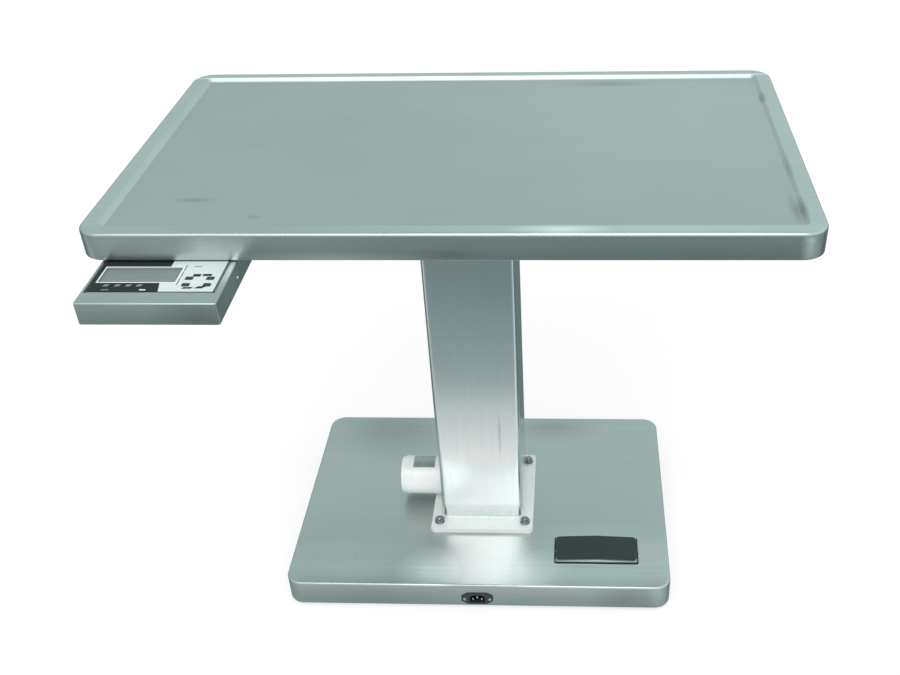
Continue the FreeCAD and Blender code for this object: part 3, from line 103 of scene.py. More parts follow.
def grey(level: float) -> Paint:
    """A grey of one linear level."""
    return (level, level, level, 1.0)


# ------------------------------------------------------------------ shader maths
@dataclass(frozen=True)
class Wire:
    """A shader socket that takes Python arithmetic and adds the nodes for it."""

    sheet: "Sheet"
    socket: bpy.types.NodeSocket
    vector: bool = False

    def _join(self, operation: str, left: object, right: object) -> "Wire":
        """Add one Math or Vector Math node.

        Args:
            operation: The node's operation.
            left: Value or wire of its first input.
            right: Value or wire of its second input.

        Returns:
            The wire of its result.
        """
        kind = "ShaderNodeVectorMath" if self.vector else "ShaderNodeMath"
        return self.sheet.wire(kind, {"operation": operation}, {0: left, 1: right},
                               vector=self.vector)

    def __add__(self, other: object) -> "Wire":
        """This wire plus another value."""
        return self._join("ADD", self, other)

    __radd__ = __add__

    def __sub__(self, other: object) -> "Wire":
        """This wire less another value."""
        return self._join("SUBTRACT", self, other)

    def __rsub__(self, other: object) -> "Wire":
        """Another value less this wire."""
        return self._join("SUBTRACT", other, self)

    def __mul__(self, other: object) -> "Wire":
        """This wire times another value."""
        return self._join("MULTIPLY", self, other)

    __rmul__ = __mul__

    def __truediv__(self, other: object) -> "Wire":
        """This wire divided by another value."""
        return self._join("DIVIDE", self, other)

    def __rtruediv__(self, other: object) -> "Wire":
        """Another value divided by this wire."""
        return self._join("DIVIDE", other, self)


class Sheet:
    """The node tree of one material or world."""

    def __init__(self, tree: bpy.types.NodeTree) -> None:
        """Empty the tree and keep it."""
        tree.nodes.clear()
        self.tree = tree

    def node(self, kind: str, settings: dict[str, object] | None = None,
             inputs: dict[str | int, object] | None = None) -> bpy.types.Node:
        """Add a node, set it up, and fill its sockets.

        Args:
            kind: The node's type.
            settings: Its own settings, set first; "stops" gives a ramp's stops.
            inputs: Its sockets by name or number, each a value or a Wire.

        Returns:
            The node.
        """
        made = self.tree.nodes.new(kind)
        for name, setting in (settings or {}).items():
            if name == "stops":
                self._set_stops(made.color_ramp, setting)
            else:
                setattr(made, name, setting)
        for name, given in (inputs or {}).items():
            if isinstance(given, Wire):
                self.tree.links.new(given.socket, made.inputs[name])
            else:
                made.inputs[name].default_value = given
        return made

    @staticmethod
    def _set_stops(ramp: bpy.types.ColorRamp, stops: Stops) -> None:
        """Give a ramp grey stops.

        Args:
            ramp: The ramp.
            stops: Place and level of each stop.
        """
        while len(ramp.elements) < len(stops):
            ramp.elements.new(0.5)
        for element, (place, level) in zip(ramp.elements, stops):
            element.position = place
            element.color = grey(level)

    def wire(self, kind: str, settings: dict[str, object] | None = None,
             inputs: dict[str | int, object] | None = None, output: str | int = 0,
             vector: bool = False) -> Wire:
        """Add a node as node() does and return one of its outputs as a Wire."""
        return Wire(self, self.node(kind, settings, inputs).outputs[output], vector)

    def place(self) -> Wire:
        """The position on the piece in metres, in the row's frame."""
        return self.wire("ShaderNodeTexCoord", output="Object", vector=True)

    def parts(self, vector: Wire) -> tuple[Wire, ...]:
        """The three numbers of a vector."""
        split = self.node("ShaderNodeSeparateXYZ", None, {0: vector})
        return tuple(Wire(self, split.outputs[axis]) for axis in range(3))

    def rays(self) -> tuple[Wire, ...]:
        """Whether a ray comes from the camera, and whether it comes off a glossy face."""
        path = self.node("ShaderNodeLightPath")
        return tuple(Wire(self, path.outputs[f"Is {kind} Ray"]) for kind in ("Camera", "Glossy"))

    def cloud(self, where: Wire, stretch: Triple, detail: float = 3.0,
              distortion: float = 0.0) -> Wire:
        """Noise from 0 to 1.

        Args:
            where: The position.
            stretch: Scale per metre along each axis.
            detail: Number of finer layers.
            distortion: How far the noise is pulled out of shape.

        Returns:
            The noise's level.
        """
        return self.wire("ShaderNodeTexNoise", {"noise_dimensions": "3D"},
                         {"Vector": where * stretch, "Scale": 1.0, "Detail": detail,
                          "Distortion": distortion})

    def ramp(self, value: Wire, stops: Stops) -> Wire:
        """A value passed through grey stops."""
        return self.wire("ShaderNodeValToRGB", {"stops": stops}, {0: value})

    def blend(self, share: Wire | float, first: object, second: object) -> Wire:
        """Colour between two colours, by share."""
        return self.wire("ShaderNodeMix", {"data_type": "RGBA"}, {0: share, 6: first, 7: second},
                         output=2)

    def mix(self, share: Wire, first: Wire, second: Wire) -> Wire:
        """Shader between two shaders, by share."""
        return self.wire("ShaderNodeMixShader", None, {0: share, 1: first, 2: second})

    def bump(self, height: Wire, depth: float) -> Wire:
        """A normal from a height of 0 to 1 and the depth in metres that 1 stands for."""
        return self.wire("ShaderNodeBump", None,
                         {"Strength": 1.0, "Distance": depth, "Height": height})


def new_material(name: str) -> tuple[bpy.types.Material, Sheet]:
    """Start a material.

    Args:
        name: Its name.

    Returns:
        The material and its empty tree.
    """
    made = bpy.data.materials.new(name)
    made.use_nodes = True
    return made, Sheet(made.node_tree)


class Grain(Enum):
    """Direction in which a sheet was brushed."""

    ALONG_X = (5.0, 900.0, 900.0)
    ALONG_Y = (900.0, 5.0, 900.0)
    ALONG_Z = (900.0, 900.0, 4.0)
    CROSSED = (40.0, 60.0, 40.0)


# ------------------------------------------------------------------ finishes
TONE_STOPS = ((0.3, 0.0), (0.7, 1.0))
STEEL_STOPS = ((0.34, 0.0), (0.66, 1.0))
SCRATCH_STOPS = ((0.66, 0.0), (0.70, 1.0))
SPOT_STOPS = ((0.1, 1.0), (0.55, 0.45), (1.0, 0.0))
SPECK_RANGE = (0.45, 0.8)


@dataclass(frozen=True)
class Finish:
    """One plain finish: a colour with slow tone changes and a fine surface."""

    name: str
    colour: Triple
    roughness: float
    metallic: float = 0.0
    tone: float = 0.06
    tone_scale: float = 14.0
    gloss_change: float = 0.06
    fine_scale: float = 1400.0
    fine_depth: float = 0.00002
    coat: float = 0.0
    specular: float = 0.5
    dust: float = 0.0

    def material(self) -> bpy.types.Material:
        """Make the finish's material, once.

        Returns:
            The material.
        """
        found = bpy.data.materials.get(self.name)
        if found is not None:
            return found
        made, sheet = new_material(self.name)
        made.diffuse_color = shade(self.colour)
        values = {"Metallic": self.metallic, "Coat Weight": self.coat,
                  "Specular IOR Level": self.specular}
        values.update(self.dress(sheet))
        surface = sheet.wire("ShaderNodeBsdfPrincipled", None, values)
        sheet.node("ShaderNodeOutputMaterial", None, {"Surface": surface})
        return made

    def toned(self, sheet: Sheet, share: Wire) -> Wire:
        """The finish's colour, darker where share is 0 and lighter where it is 1."""
        return sheet.blend(share, shade(self.colour, 1.0 - self.tone),
                           shade(self.colour, 1.0 + self.tone))

    def dress(self, sheet: Sheet) -> dict[str, object]:
        """Add the finish's nodes.

        Args:
            sheet: The material's tree.

        Returns:
            Values and wires for the shader's sockets.
        """
        where = sheet.place()
        slow = sheet.cloud(where, (self.tone_scale,) * 3, 4.0, 0.6)
        fine = sheet.cloud(where, (self.fine_scale,) * 3, 2.0)
        colour = self.toned(sheet, sheet.ramp(slow, TONE_STOPS))
        if self.dust:
            specks = sheet.ramp(fine, tuple(zip(SPECK_RANGE, (0.0, self.dust))))
            colour = sheet.blend(specks, colour, shade(DUST))
        return {"Base Color": colour,
                "Roughness": self.roughness + (slow - 0.5) * (2.0 * self.gloss_change),
                "Normal": sheet.bump(fine, self.fine_depth)}


@dataclass(frozen=True)
class Mark:
    """A soft spot on a sheet, lighter or darker than the rest; most are painted highlights and
    painted shade, a few plain darker spots.
    """

    place: Triple
    reach: Triple
    level: float
    dulling: float = 0.1
    tint: Triple = NO_TINT

    def mask(self, sheet: Sheet, where: Wire) -> Wire:
        """Share of the mark, from 1 at its middle to 0 outside it.

        Args:
            sheet: The material's tree.
            where: The position.

        Returns:
            The share.
        """
        away = sheet.wire("ShaderNodeVectorMath", {"operation": "LENGTH"},
                          {0: (where - self.place) / self.reach}, output="Value")
        return sheet.ramp(away, SPOT_STOPS)


@dataclass(frozen=True)
class BrushedSteel(Finish):
    """Stainless steel with brush lines, slow tone changes, faint scratches, and marks that are
    mostly painted highlights and painted shade.
    """

    metallic: float = 1.0
    grain: Grain = Grain.ALONG_X
    slow_scale: Triple = (3.4, 3.9, 4.2)
    broad_scale: float = 0.18
    line_share: float = 0.05
    line_level: float = 0.72
    line_gloss: float = 0.10
    line_depth: float = 0.000004
    scratch_scale: Triple = (31.0, 640.0, 640.0)
    scratches: float = 0.05
    marks: tuple[Mark, ...] = ()
    slow_share: float = 0.62
    broad_share: float = 0.38
    mark_least: float = 0.55
    mark_broad: float = 0.9

    def dress(self, sheet: Sheet) -> dict[str, object]:
        """Add brush lines, scratches, and marks that are mostly painted highlights and painted
        shade.

        Args:
            sheet: The material's tree.

        Returns:
            Values and wires for the shader's sockets.
        """
        where = sheet.place()
        slow = sheet.cloud(where, self.slow_scale, 5.0, 0.9)
        lines = sheet.cloud(where, self.grain.value, 5.0)
        broad = sheet.cloud(where, tuple(step * self.broad_scale for step in self.grain.value))
        scratch = sheet.ramp(sheet.cloud(where, self.scratch_scale, 2.0, 1.6), SCRATCH_STOPS)
        share = sheet.ramp(slow * self.slow_share + broad * self.broad_share, STEEL_STOPS)
        colour = sheet.blend((lines - 0.5) * self.line_share + scratch * self.scratches,
                             self.toned(sheet, share), shade(self.colour, self.line_level))
        rough = (self.roughness + (slow - 0.5) * (2.0 * self.gloss_change)
                 + (lines - 0.5) * self.line_gloss)
        # Each mark blends towards a lighter or darker copy of the colour; most are painted
        # highlights and painted shade.
        for mark in self.marks:
            share = mark.mask(sheet, where) * (self.mark_least + self.mark_broad * broad)
            colour = sheet.blend(share, colour, shade(self.colour, mark.level, mark.tint))
            rough = rough + share * mark.dulling
        return {"Base Color": colour, "Roughness": rough,
                "Normal": sheet.bump(lines, self.line_depth)}


@dataclass(frozen=True)
class ClearWindow(Finish):
    """Clear plastic over the display: it shows what lies below and a little gloss."""

    alpha: float = 0.18
    haze_scale: Triple = (60.0, 90.0, 60.0)
    haze_cover: float = 0.08
    haze_dulling: float = 0.05

    def dress(self, sheet: Sheet) -> dict[str, object]:
        """Add faint wipe marks.

        Args:
            sheet: The material's tree.

        Returns:
            Values and wires for the shader's sockets.
        """
        haze = sheet.cloud(sheet.place(), self.haze_scale, 3.0, 0.8)
        return {"Base Color": self.toned(sheet, haze),
                "Alpha": self.alpha + haze * self.haze_cover,
                "Roughness": self.roughness + haze * self.haze_dulling}


@dataclass(frozen=True)
class DisplayFace(Finish):
    """Unlit liquid-crystal panel: grey-green with the rows of its cells just visible."""

    row_scale: float = 110.0
    slow_scale: Triple = (18.0, 50.0, 18.0)
    row_share: float = 0.4
    slow_share: float = 0.6
    slow_dulling: float = 0.1

    def dress(self, sheet: Sheet) -> dict[str, object]:
        """Add the rows of cells.

        Args:
            sheet: The material's tree.

        Returns:
            Values and wires for the shader's sockets.
        """
        where = sheet.place()
        rows = sheet.wire("ShaderNodeTexWave", {"wave_type": "BANDS", "bands_direction": "Y"},
                          {"Vector": where, "Scale": self.row_scale, "Distortion": 0.0})
        slow = sheet.cloud(where, self.slow_scale, 2.0)
        return {"Base Color": self.toned(sheet, rows * self.row_share + slow * self.slow_share),
                "Roughness": self.roughness + (slow - 0.5) * self.slow_dulling}


# Where marks overlap, the later one covers the earlier, so wide marks come first.
# Painted highlight: a lighter strip on the tray's top along the right of the panel.
TRAY_PAINTED_HIGHLIGHT_MARKS = (Mark((-0.2590, -0.282, 0.667), (0.005, 0.045, 0.01), 1.5),)
COLUMN_PAINTED_LIGHT_MARKS = (
    # Painted highlight: the column's foot lighter and warmer.
    Mark((0.0, -0.067, 0.110), (0.160, 0.02, 0.110), 1.16, 0.0, (1.06, 0.99, 1.01)),
    # Painted shade: darker and duller at the left foot, toning down the lamp's glare there.
    Mark((-0.078, -0.067, 0.140), (0.072, 0.02, 0.072), 0.88, 0.16, (1.06, 0.99, 1.01)),
    # Painted shade: a darker band just above the flange.
    Mark((0.0, -0.067, 0.070), (0.160, 0.02, 0.026), 0.90),
    # A thin dark vertical streak on the front face.
    Mark((0.0345, -0.067, 0.242), (0.003, 0.01, 0.05), 0.75),
    # Painted shade: a dark line along the left corner, over its highlight.
    Mark((-0.062, -0.067, 0.34), (0.003, 0.01, 0.2), 0.8))
PAN_FLOOR_MARKS = (
    # Painted light: the right and back of the floor lighter.
    Mark((0.300, 0.130, 0.699), (0.450, 0.380, 0.02), 1.10, 0.0),
    # Small darker spots on the floor.
    Mark((-0.331, -0.165, 0.699), (0.030, 0.009, 0.01), 0.79),
    Mark((-0.243, -0.211, 0.699), (0.012, 0.008, 0.01), 0.84),
    Mark((0.200, 0.224, 0.699), (0.085, 0.014, 0.01), 0.84),
    Mark((0.419, -0.198, 0.699), (0.009, 0.050, 0.02), 0.76))
RIM_PAINTED_LIGHT_MARKS = (
    # Painted highlight: a light band along the back slope.
    Mark((0.0, 0.2447, 0.702), (1.100, 0.0055, 0.02), 1.65, 0.0, (1.05, 0.98, 0.99)),
    # Painted light and painted shade: the front land lighter on the right, darker on the left.
    Mark((0.240, -0.252, 0.705), (0.300, 0.016, 0.01), 1.16),
    Mark((-0.260, -0.252, 0.705), (0.200, 0.016, 0.01), 0.9),
    # Painted shade: dims the front fold's highlight on the left.
    Mark((-0.200, -0.2637, 0.7037), (0.450, 0.006, 0.005), 0.8),
    # Painted highlight: a glare patch on the front land.
    Mark((0.135, -0.254, 0.705), (0.065, 0.012, 0.01), 1.9, 0.0, (1.05, 0.98, 0.98)),
    # Darker spots along the right slope.
    Mark((0.425, 0.153, 0.702), (0.008, 0.026, 0.02), 0.62),
    Mark((0.426, -0.085, 0.702), (0.007, 0.050, 0.02), 0.8),
    Mark((0.425, -0.200, 0.702), (0.008, 0.040, 0.02), 0.56))
SKIRT_PAINTED_LIGHT_MARKS = (
    # Painted shade: the skirt's right half darker, most at its top.
    Mark((0.250, -0.265, 0.680), (0.500, 0.02, 0.08), 0.78, 0.1, (0.93, 1.0, 1.01)),
    Mark((0.240, -0.265, 0.698), (0.520, 0.02, 0.016), 0.66, 0.1, (0.93, 1.0, 1.01)),
    # Painted light: the lower left of the skirt lighter.
    Mark((-0.150, -0.265, 0.670), (0.160, 0.02, 0.013), 1.30),
    # Painted shade: a darker patch in front of the column.
    Mark((0.005, -0.265, 0.678), (0.055, 0.02, 0.012), 0.62),
    # Painted light: the left end lighter.
    Mark((-0.340, -0.265, 0.680), (0.120, 0.02, 0.04), 1.20),
    # Painted shade, then a painted highlight, at the right corner.
    Mark((0.395, -0.265, 0.687), (0.040, 0.02, 0.04), 0.66),
    Mark((0.426, -0.263, 0.687), (0.012, 0.02, 0.04), 1.4),
    # Painted shade: the tray's front darker on its right.
    Mark((-0.280, -0.360, 0.650), (0.060, 0.02, 0.04), 0.66))
# Painted highlight: a lighter patch on the tray's right side.
SKIRT_SIDE_PAINTED_LIGHT_MARKS = (Mark((-0.255, -0.300, 0.652), (0.02, 0.070, 0.04), 1.2),)
BASE_TOP_PAINTED_LIGHT_MARKS = (
    # A small darker spot.
    Mark((-0.199, -0.156, 0.0535), (0.008, 0.008, 0.01), 0.75),
    # Painted shade: tones down the reflection in front of the column.
    Mark((0.010, -0.160, 0.0535), (0.140, 0.120, 0.01), 0.73, 0.0, (1.08, 0.99, 1.01)),
    # Painted light: the front of the top lighter on both sides.
    Mark((0.190, -0.180, 0.0535), (0.240, 0.120, 0.01), 1.45),
    Mark((-0.190, -0.180, 0.0535), (0.180, 0.080, 0.01), 1.25),
    # Painted highlight: two glare patches in front of the column's foot.
    Mark((-0.080, -0.185, 0.0535), (0.055, 0.060, 0.01), 1.8, 0.0),
    Mark((0.110, -0.185, 0.0535), (0.055, 0.060, 0.01), 1.6, 0.0),
    # Painted shade: the back of the top, under the pan, darker.
    Mark((0.110, 0.185, 0.0535), (0.110, 0.050, 0.01), 0.84),
    Mark((-0.180, 0.180, 0.0535), (0.150, 0.110, 0.01), 0.78))
BASE_SKIRT_PAINTED_LIGHT_MARKS = (
    # Painted shade: two darker stretches of the front skirt; painted highlight near its right end.
    Mark((-0.160, -0.212, 0.030), (0.140, 0.02, 0.05), 0.84),
    Mark((0.235, -0.212, 0.030), (0.060, 0.02, 0.05), 0.80),
    Mark((0.290, -0.205, 0.030), (0.025, 0.02, 0.05), 1.30))

SLOT_FINISH: dict[str, Finish] = {
    "stainless_sheet": BrushedSteel("satin_sheet", (184, 190, 188), 0.34, tone=0.05,
                                    marks=TRAY_PAINTED_HIGHLIGHT_MARKS),
    "stainless_tube": BrushedSteel("column_satin", (228, 232, 231), 0.2, tone=0.03,
                                   grain=Grain.ALONG_Z, line_share=0.035, marks=COLUMN_PAINTED_LIGHT_MARKS),
    "frame_steel": Finish("grey_powder_coat", (92, 97, 101), 0.52, fine_scale=900.0,
                          fine_depth=0.00006, dust=0.15),
    "zinc_steel": Finish("zinc_plate", (186, 192, 192), 0.36, metallic=1.0, tone=0.12,
                         tone_scale=90.0, gloss_change=0.12),
    "ground_steel": Finish("ground_shaft", (205, 209, 210), 0.16, metallic=1.0, tone=0.04),
    "cast_housing": Finish("die_cast_alloy", (172, 175, 178), 0.48, metallic=0.9, tone=0.1,
                           tone_scale=40.0, fine_scale=700.0, fine_depth=0.00008),
    "motor_enamel": Finish("white_enamel", (248, 249, 249), 0.34, tone=0.03, coat=0.25,
                           fine_depth=0.00004, dust=0.04),
    "cell_alloy": Finish("machined_alloy", (196, 199, 203), 0.3, metallic=1.0, tone=0.06,
                         tone_scale=60.0),
    "bronze": Finish("sintered_bronze", (176, 140, 86), 0.38, metallic=1.0, tone=0.12,
                     tone_scale=120.0),
    "black_rubber": Finish("black_rubber_skin", (43, 56, 57), 0.62, tone=0.12, tone_scale=45.0,
                           fine_depth=0.00005, dust=0.1, specular=0.3),
    "black_plastic": Finish("black_moulding", (38, 46, 48), 0.46, tone=0.08, tone_scale=60.0,
                            fine_depth=0.00004, dust=0.05),
    "grey_plastic": Finish("grey_moulding", (120, 124, 126), 0.5, fine_depth=0.00005),
    "guide_plastic": Finish("acetal", (226, 226, 218), 0.4, tone=0.03),
    "overlay_film": Finish("panel_film", (208, 219, 220), 0.42, tone=0.03, specular=0.3,
                           fine_scale=2600.0, fine_depth=0.000008),
    "key_plastic": Finish("key_cap", (34, 43, 46), 0.48, tone=0.1, tone_scale=150.0),
    "window_glass": ClearWindow("window_clear", (205, 214, 212), 0.2, tone=0.02, specular=0.3),
    "display_panel": DisplayFace("display_face", (112, 134, 133), 0.45, tone=0.08, specular=0.3),
    "board_laminate": Finish("board_mask", (38, 98, 66), 0.35, tone=0.12, tone_scale=200.0),
    "contact_brass": Finish("contact_metal", (206, 206, 196), 0.24, metallic=1.0),
    "lead_sheath": Finish("lead_sheath_black", (46, 48, 50), 0.5, dust=0.08),
}
PAN_FLOOR = BrushedSteel("pan_floor_satin", (184, 190, 188), 0.42, tone=0.04,
                         grain=Grain.CROSSED, line_share=0.1, marks=PAN_FLOOR_MARKS)
RIM_SATIN = BrushedSteel("rim_satin", (194, 201, 199), 0.27, tone=0.05, line_share=0.08,
                         marks=RIM_PAINTED_LIGHT_MARKS)
SKIRT_SATIN = BrushedSteel("skirt_satin", (190, 197, 195), 0.34, tone=0.07, marks=SKIRT_PAINTED_LIGHT_MARKS)
SKIRT_SIDE = BrushedSteel("skirt_side_satin", (190, 197, 195), 0.3, tone=0.07,
                          grain=Grain.ALONG_Y, marks=SKIRT_SIDE_PAINTED_LIGHT_MARKS)
BASE_TOP = BrushedSteel("base_top_satin", (187, 193, 191), 0.36, tone=0.05,
                        marks=BASE_TOP_PAINTED_LIGHT_MARKS)
# Painted shade: the base's skirt and sides take a darker copy of the top's steel.
BASE_SKIRT = BrushedSteel("base_skirt_satin_painted_shade", (172, 182, 180), 0.28, tone=0.06,
                          marks=BASE_SKIRT_PAINTED_LIGHT_MARKS)
BASE_SIDE = BrushedSteel("base_side_satin_painted_shade", (172, 182, 180), 0.28, tone=0.06,
                         grain=Grain.ALONG_Y)
NUT_ZINC = Finish("nut_zinc", (138, 144, 144), 0.34, metallic=1.0, tone=0.25, tone_scale=220.0)
BARE_PLATE = Finish("bare_plate", (168, 178, 176), 0.4, metallic=0.6, tone=0.12,
                    tone_scale=160.0)
PRINT_BLACK = Finish("print_black", (24, 33, 36), 0.5, tone=0.1, tone_scale=120.0,
                     specular=0.25)
PRINT_GREY = Finish("print_grey", (128, 138, 138), 0.42, tone=0.05)
PRINT_WHITE = Finish("print_white", (236, 240, 239), 0.42, tone=0.03)
BLASTED_PLATE = Finish("blasted_plate", (240, 242, 241), 0.46, metallic=0.15, tone=0.03,
                       tone_scale=60.0, fine_scale=900.0, fine_depth=0.00003)
WELD = Finish("weld_bead", (224, 230, 229), 0.5, metallic=0.4, tone=0.08, tone_scale=220.0)
NODE_FINISH: dict[str, Finish] = {"column_flange": BLASTED_PLATE}


# ------------------------------------------------------------------ mesh helpers
def smooth_by_angle(mesh: bpy.types.Mesh, degrees: float = SHARP_ANGLE) -> None:
    """Shade a mesh smooth, but for the edges where its faces meet at a wide angle.

    Args:
        mesh: The mesh.
        degrees: The angle from which an edge is sharp.
    """
    shape = bmesh.new()
    shape.from_mesh(mesh)
    bmesh.ops.recalc_face_normals(shape, faces=shape.faces)
    limit = math.radians(degrees)
    for face in shape.faces:
        face.smooth = True
    for edge in shape.edges:
        edge.smooth = len(edge.link_faces) == 2 and edge.calc_face_angle(0.0) < limit
    shape.to_mesh(mesh)
    shape.free()


def corners(x: float, y: float) -> list[Point]:
    """The four places at x and y from the middle, from left to right and front to back."""
    return [(x_side * x, y_side * y) for x_side in SIDES for y_side in SIDES]


def arc(centre: Point, radius: float, start: float, end: float, steps: int) -> list[Point]:
    """Points of an arc, ends included.

    Args:
        centre: Its middle.
        radius: Its radius.
        start: Angle of its first point in degrees.
        end: Angle of its last point in degrees.
        steps: Number of runs.

    Returns:
        The points in order.
    """
    angles = (math.radians(start + (end - start) * step / steps) for step in range(steps + 1))
    return [(centre[0] + radius * math.cos(angle), centre[1] + radius * math.sin(angle))
            for angle in angles]


def rounded_ring(width: float, depth: float, radius: float, corner_steps: int = 8,
                 side_steps: int = 1) -> list[Point]:
    """A rounded rectangle about the origin, always with the same count of points.

    Args:
        width: Its size along the first axis.
        depth: Its size along the second axis.
        radius: Radius of its corners.
        corner_steps: Runs in each corner.
        side_steps: Runs in each straight side.

    Returns:
        Its points, turning left.
    """
    radius = max(LEAST_RADIUS, min(radius, width / 2, depth / 2))
    bends = [arc((x_side * (width / 2 - radius), y_side * (depth / 2 - radius)), radius,
                 start, start + 90, corner_steps)
             for x_side, y_side, start in ((1, 1, 0), (-1, 1, 90), (-1, -1, 180), (1, -1, 270))]
    points: list[Point] = []
    for bend, following in zip(bends, bends[1:] + bends[:1]):
        points.extend(bend)
        (x, y), (next_x, next_y) = bend[-1], following[0]
        for step in range(1, side_steps):
            share = step / side_steps
            points.append((x + (next_x - x) * share, y + (next_y - y) * share))
    return points


def level_ring(plan: Sequence[Point], height: float, x: float = 0.0,
               y: float = 0.0) -> list[Vector]:
    """A plan's points at one height, moved by x and y."""
    return [Vector((x + across, y + along, height)) for across, along in plan]


def upright(x: float, y: float, z: float) -> Matrix:
    """Place whose local Z axis points up."""
    return Matrix.Translation((x, y, z))


def facing(x: float, y: float, z: float, towards: Triple) -> Matrix:
    """Place whose local Z axis points towards a direction."""
    turn = Vector(towards).to_track_quat("Z", "Y").to_matrix().to_4x4()
    return Matrix.Translation((x, y, z)) @ turn


def add_piece(name: str, mesh: bpy.types.Mesh, slot: str, body: str | None,
              finish: Finish | None = None, replaces: Iterable[str] = ()) -> bpy.types.Object:
    """Put a mesh in the scene as one piece.

    Args:
        name: The piece's name.
        mesh: Its mesh, in the row's frame.
        slot: The record's material slot it takes its finish from.
        body: The body it rides on, or None for a piece that spans two bodies and rides on neither.
        finish: A finish of its own, where it isn't the slot's.
        replaces: CAD nodes that it stands for.

    Returns:
        The object.
    """
    piece = bpy.data.objects.new(name, mesh)
    bpy.context.scene.collection.objects.link(piece)
    if not mesh.materials:
        mesh.materials.append((finish or SLOT_FINISH[slot]).material())
    if body:
        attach(piece, body)
    if replaces:
        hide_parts(*replaces)
    LOG.info("piece %s: %d faces, rides on %s", name, len(mesh.polygons), body or "two bodies")
    return piece


class Shape:
    """A mesh in the making: faces are added, then it becomes a named piece."""

    def __init__(self) -> None:
        """Start with no faces."""
        self.build = bmesh.new()

    def loft(self, rings: Sequence[Sequence[Vector]], cap_first: bool = True,
             closed: bool = False) -> "Shape":
        """Join rings of equal length with quads, and close the ends.

        Args:
            rings: The rings in order.
            cap_first: Whether a face closes the first ring too.
            closed: Whether the last ring is joined to the first instead.

        Returns:
            This shape.
        """
        rows = [[self.build.verts.new(point) for point in ring] for ring in rings]
        count = len(rows[0])
        pairs = list(zip(rows, rows[1:])) + ([(rows[-1], rows[0])] if closed else [])
        for low, high in pairs:
            for number in range(count):
                after = (number + 1) % count
                self.build.faces.new((low[number], low[after], high[after], high[number]))
        if not closed:
            if cap_first:
                self.build.faces.new(list(reversed(rows[0])))
            self.build.faces.new(rows[-1])
        return self

    def slab(self, centre: Point, size: Point, low: float, high: float, corner: float,
             edge_low: float = 0.0, edge_high: float = 0.0, steps: int = 5) -> "Shape":
        """Add a rounded block with rounded lower and upper edges.

        Args:
            centre: Its middle in plan.
            size: Its width and depth.
            low: Height of its underside.
            high: Height of its top.
            corner: Radius of its corners in plan.
            edge_low: Radius of its lower edge.
            edge_high: Radius of its upper edge.
            steps: Runs in each corner.

        Returns:
            This shape.
        """
        quarter = [math.radians(angle) for angle in QUARTER]
        sides = [(edge_low * (1 - math.sin(a)), low + edge_low * (1 - math.cos(a)))
                 for a in (quarter if edge_low else quarter[:1])]
        sides += [(edge_high * (1 - math.cos(a)), high - edge_high * (1 - math.sin(a)))
                  for a in (quarter if edge_high else quarter[:1])]
        return self.loft([level_ring(
            rounded_ring(size[0] - 2 * inset, size[1] - 2 * inset,
                         max(corner - inset, LEAST_CORNER), steps), height, *centre)
            for inset, height in sides])

    def turn(self, profile: Iterable[Point], place: Matrix, sides: int = 40) -> "Shape":
        """Add a turned piece about an axis.

        Args:
            profile: Points of (radius, height), from one end of the axis to the other.
            place: Matrix that carries the local Z axis to the piece's axis.
            sides: Number of sides.

        Returns:
            This shape.
        """
        angles = [math.tau * number / sides for number in range(sides)]
        rings = []
        for radius, height in profile:
            reach = max(radius, LEAST_RADIUS)
            rings.append([place @ Vector((reach * math.cos(angle), reach * math.sin(angle),
                                          height)) for angle in angles])
        return self.loft(rings)

    def warp(self, shift: Callable[[Vector], Vector]) -> "Shape":
        """Move every point by what a rule gives for it.

        Args:
            shift: The rule, from a point to how far it moves.

        Returns:
            This shape.
        """
        for vertex in self.build.verts:
            vertex.co += shift(vertex.co)
        return self

    def mesh(self, name: str, degrees: float = SHARP_ANGLE) -> bpy.types.Mesh:
        """Finish the mesh and shade it by angle.

        Args:
            name: The mesh's name.
            degrees: The angle from which an edge is sharp.

        Returns:
            The mesh.
        """
        made = bpy.data.meshes.new(name)
        self.build.to_mesh(made)
        self.build.free()
        smooth_by_angle(made, degrees)
        return made

    def piece(self, name: str, slot: str, body: str | None, finish: Finish | None = None,
              replaces: Iterable[str] = (), degrees: float = SHARP_ANGLE) -> bpy.types.Object:
        """Finish the mesh and put it in the scene as add_piece() does."""
        return add_piece(name, self.mesh(name, degrees), slot, body, finish, replaces)


def cut_away(mesh: bpy.types.Mesh, cutter: bpy.types.Mesh) -> bpy.types.Mesh:
    """Take the space of one closed mesh out of another.

    Args:
        mesh: The mesh to cut; it is removed.
        cutter: The mesh to cut with; it is removed.

    Returns:
        The cut mesh.
    """
    body = bpy.data.objects.new("cut_body", mesh)
    tool = bpy.data.objects.new("cut_tool", cutter)
    for item in (body, tool):
        bpy.context.scene.collection.objects.link(item)
    step = body.modifiers.new("cut", "BOOLEAN")
    step.operation = "DIFFERENCE"
    step.solver = "EXACT"
    step.object = tool
    bpy.context.view_layer.update()
    graph = bpy.context.evaluated_depsgraph_get()
    made = bpy.data.meshes.new_from_object(body.evaluated_get(graph))
    for item in (body, tool):
        bpy.data.objects.remove(item)
    for spent in (mesh, cutter):
        bpy.data.meshes.remove(spent)
    smooth_by_angle(made)
    return made


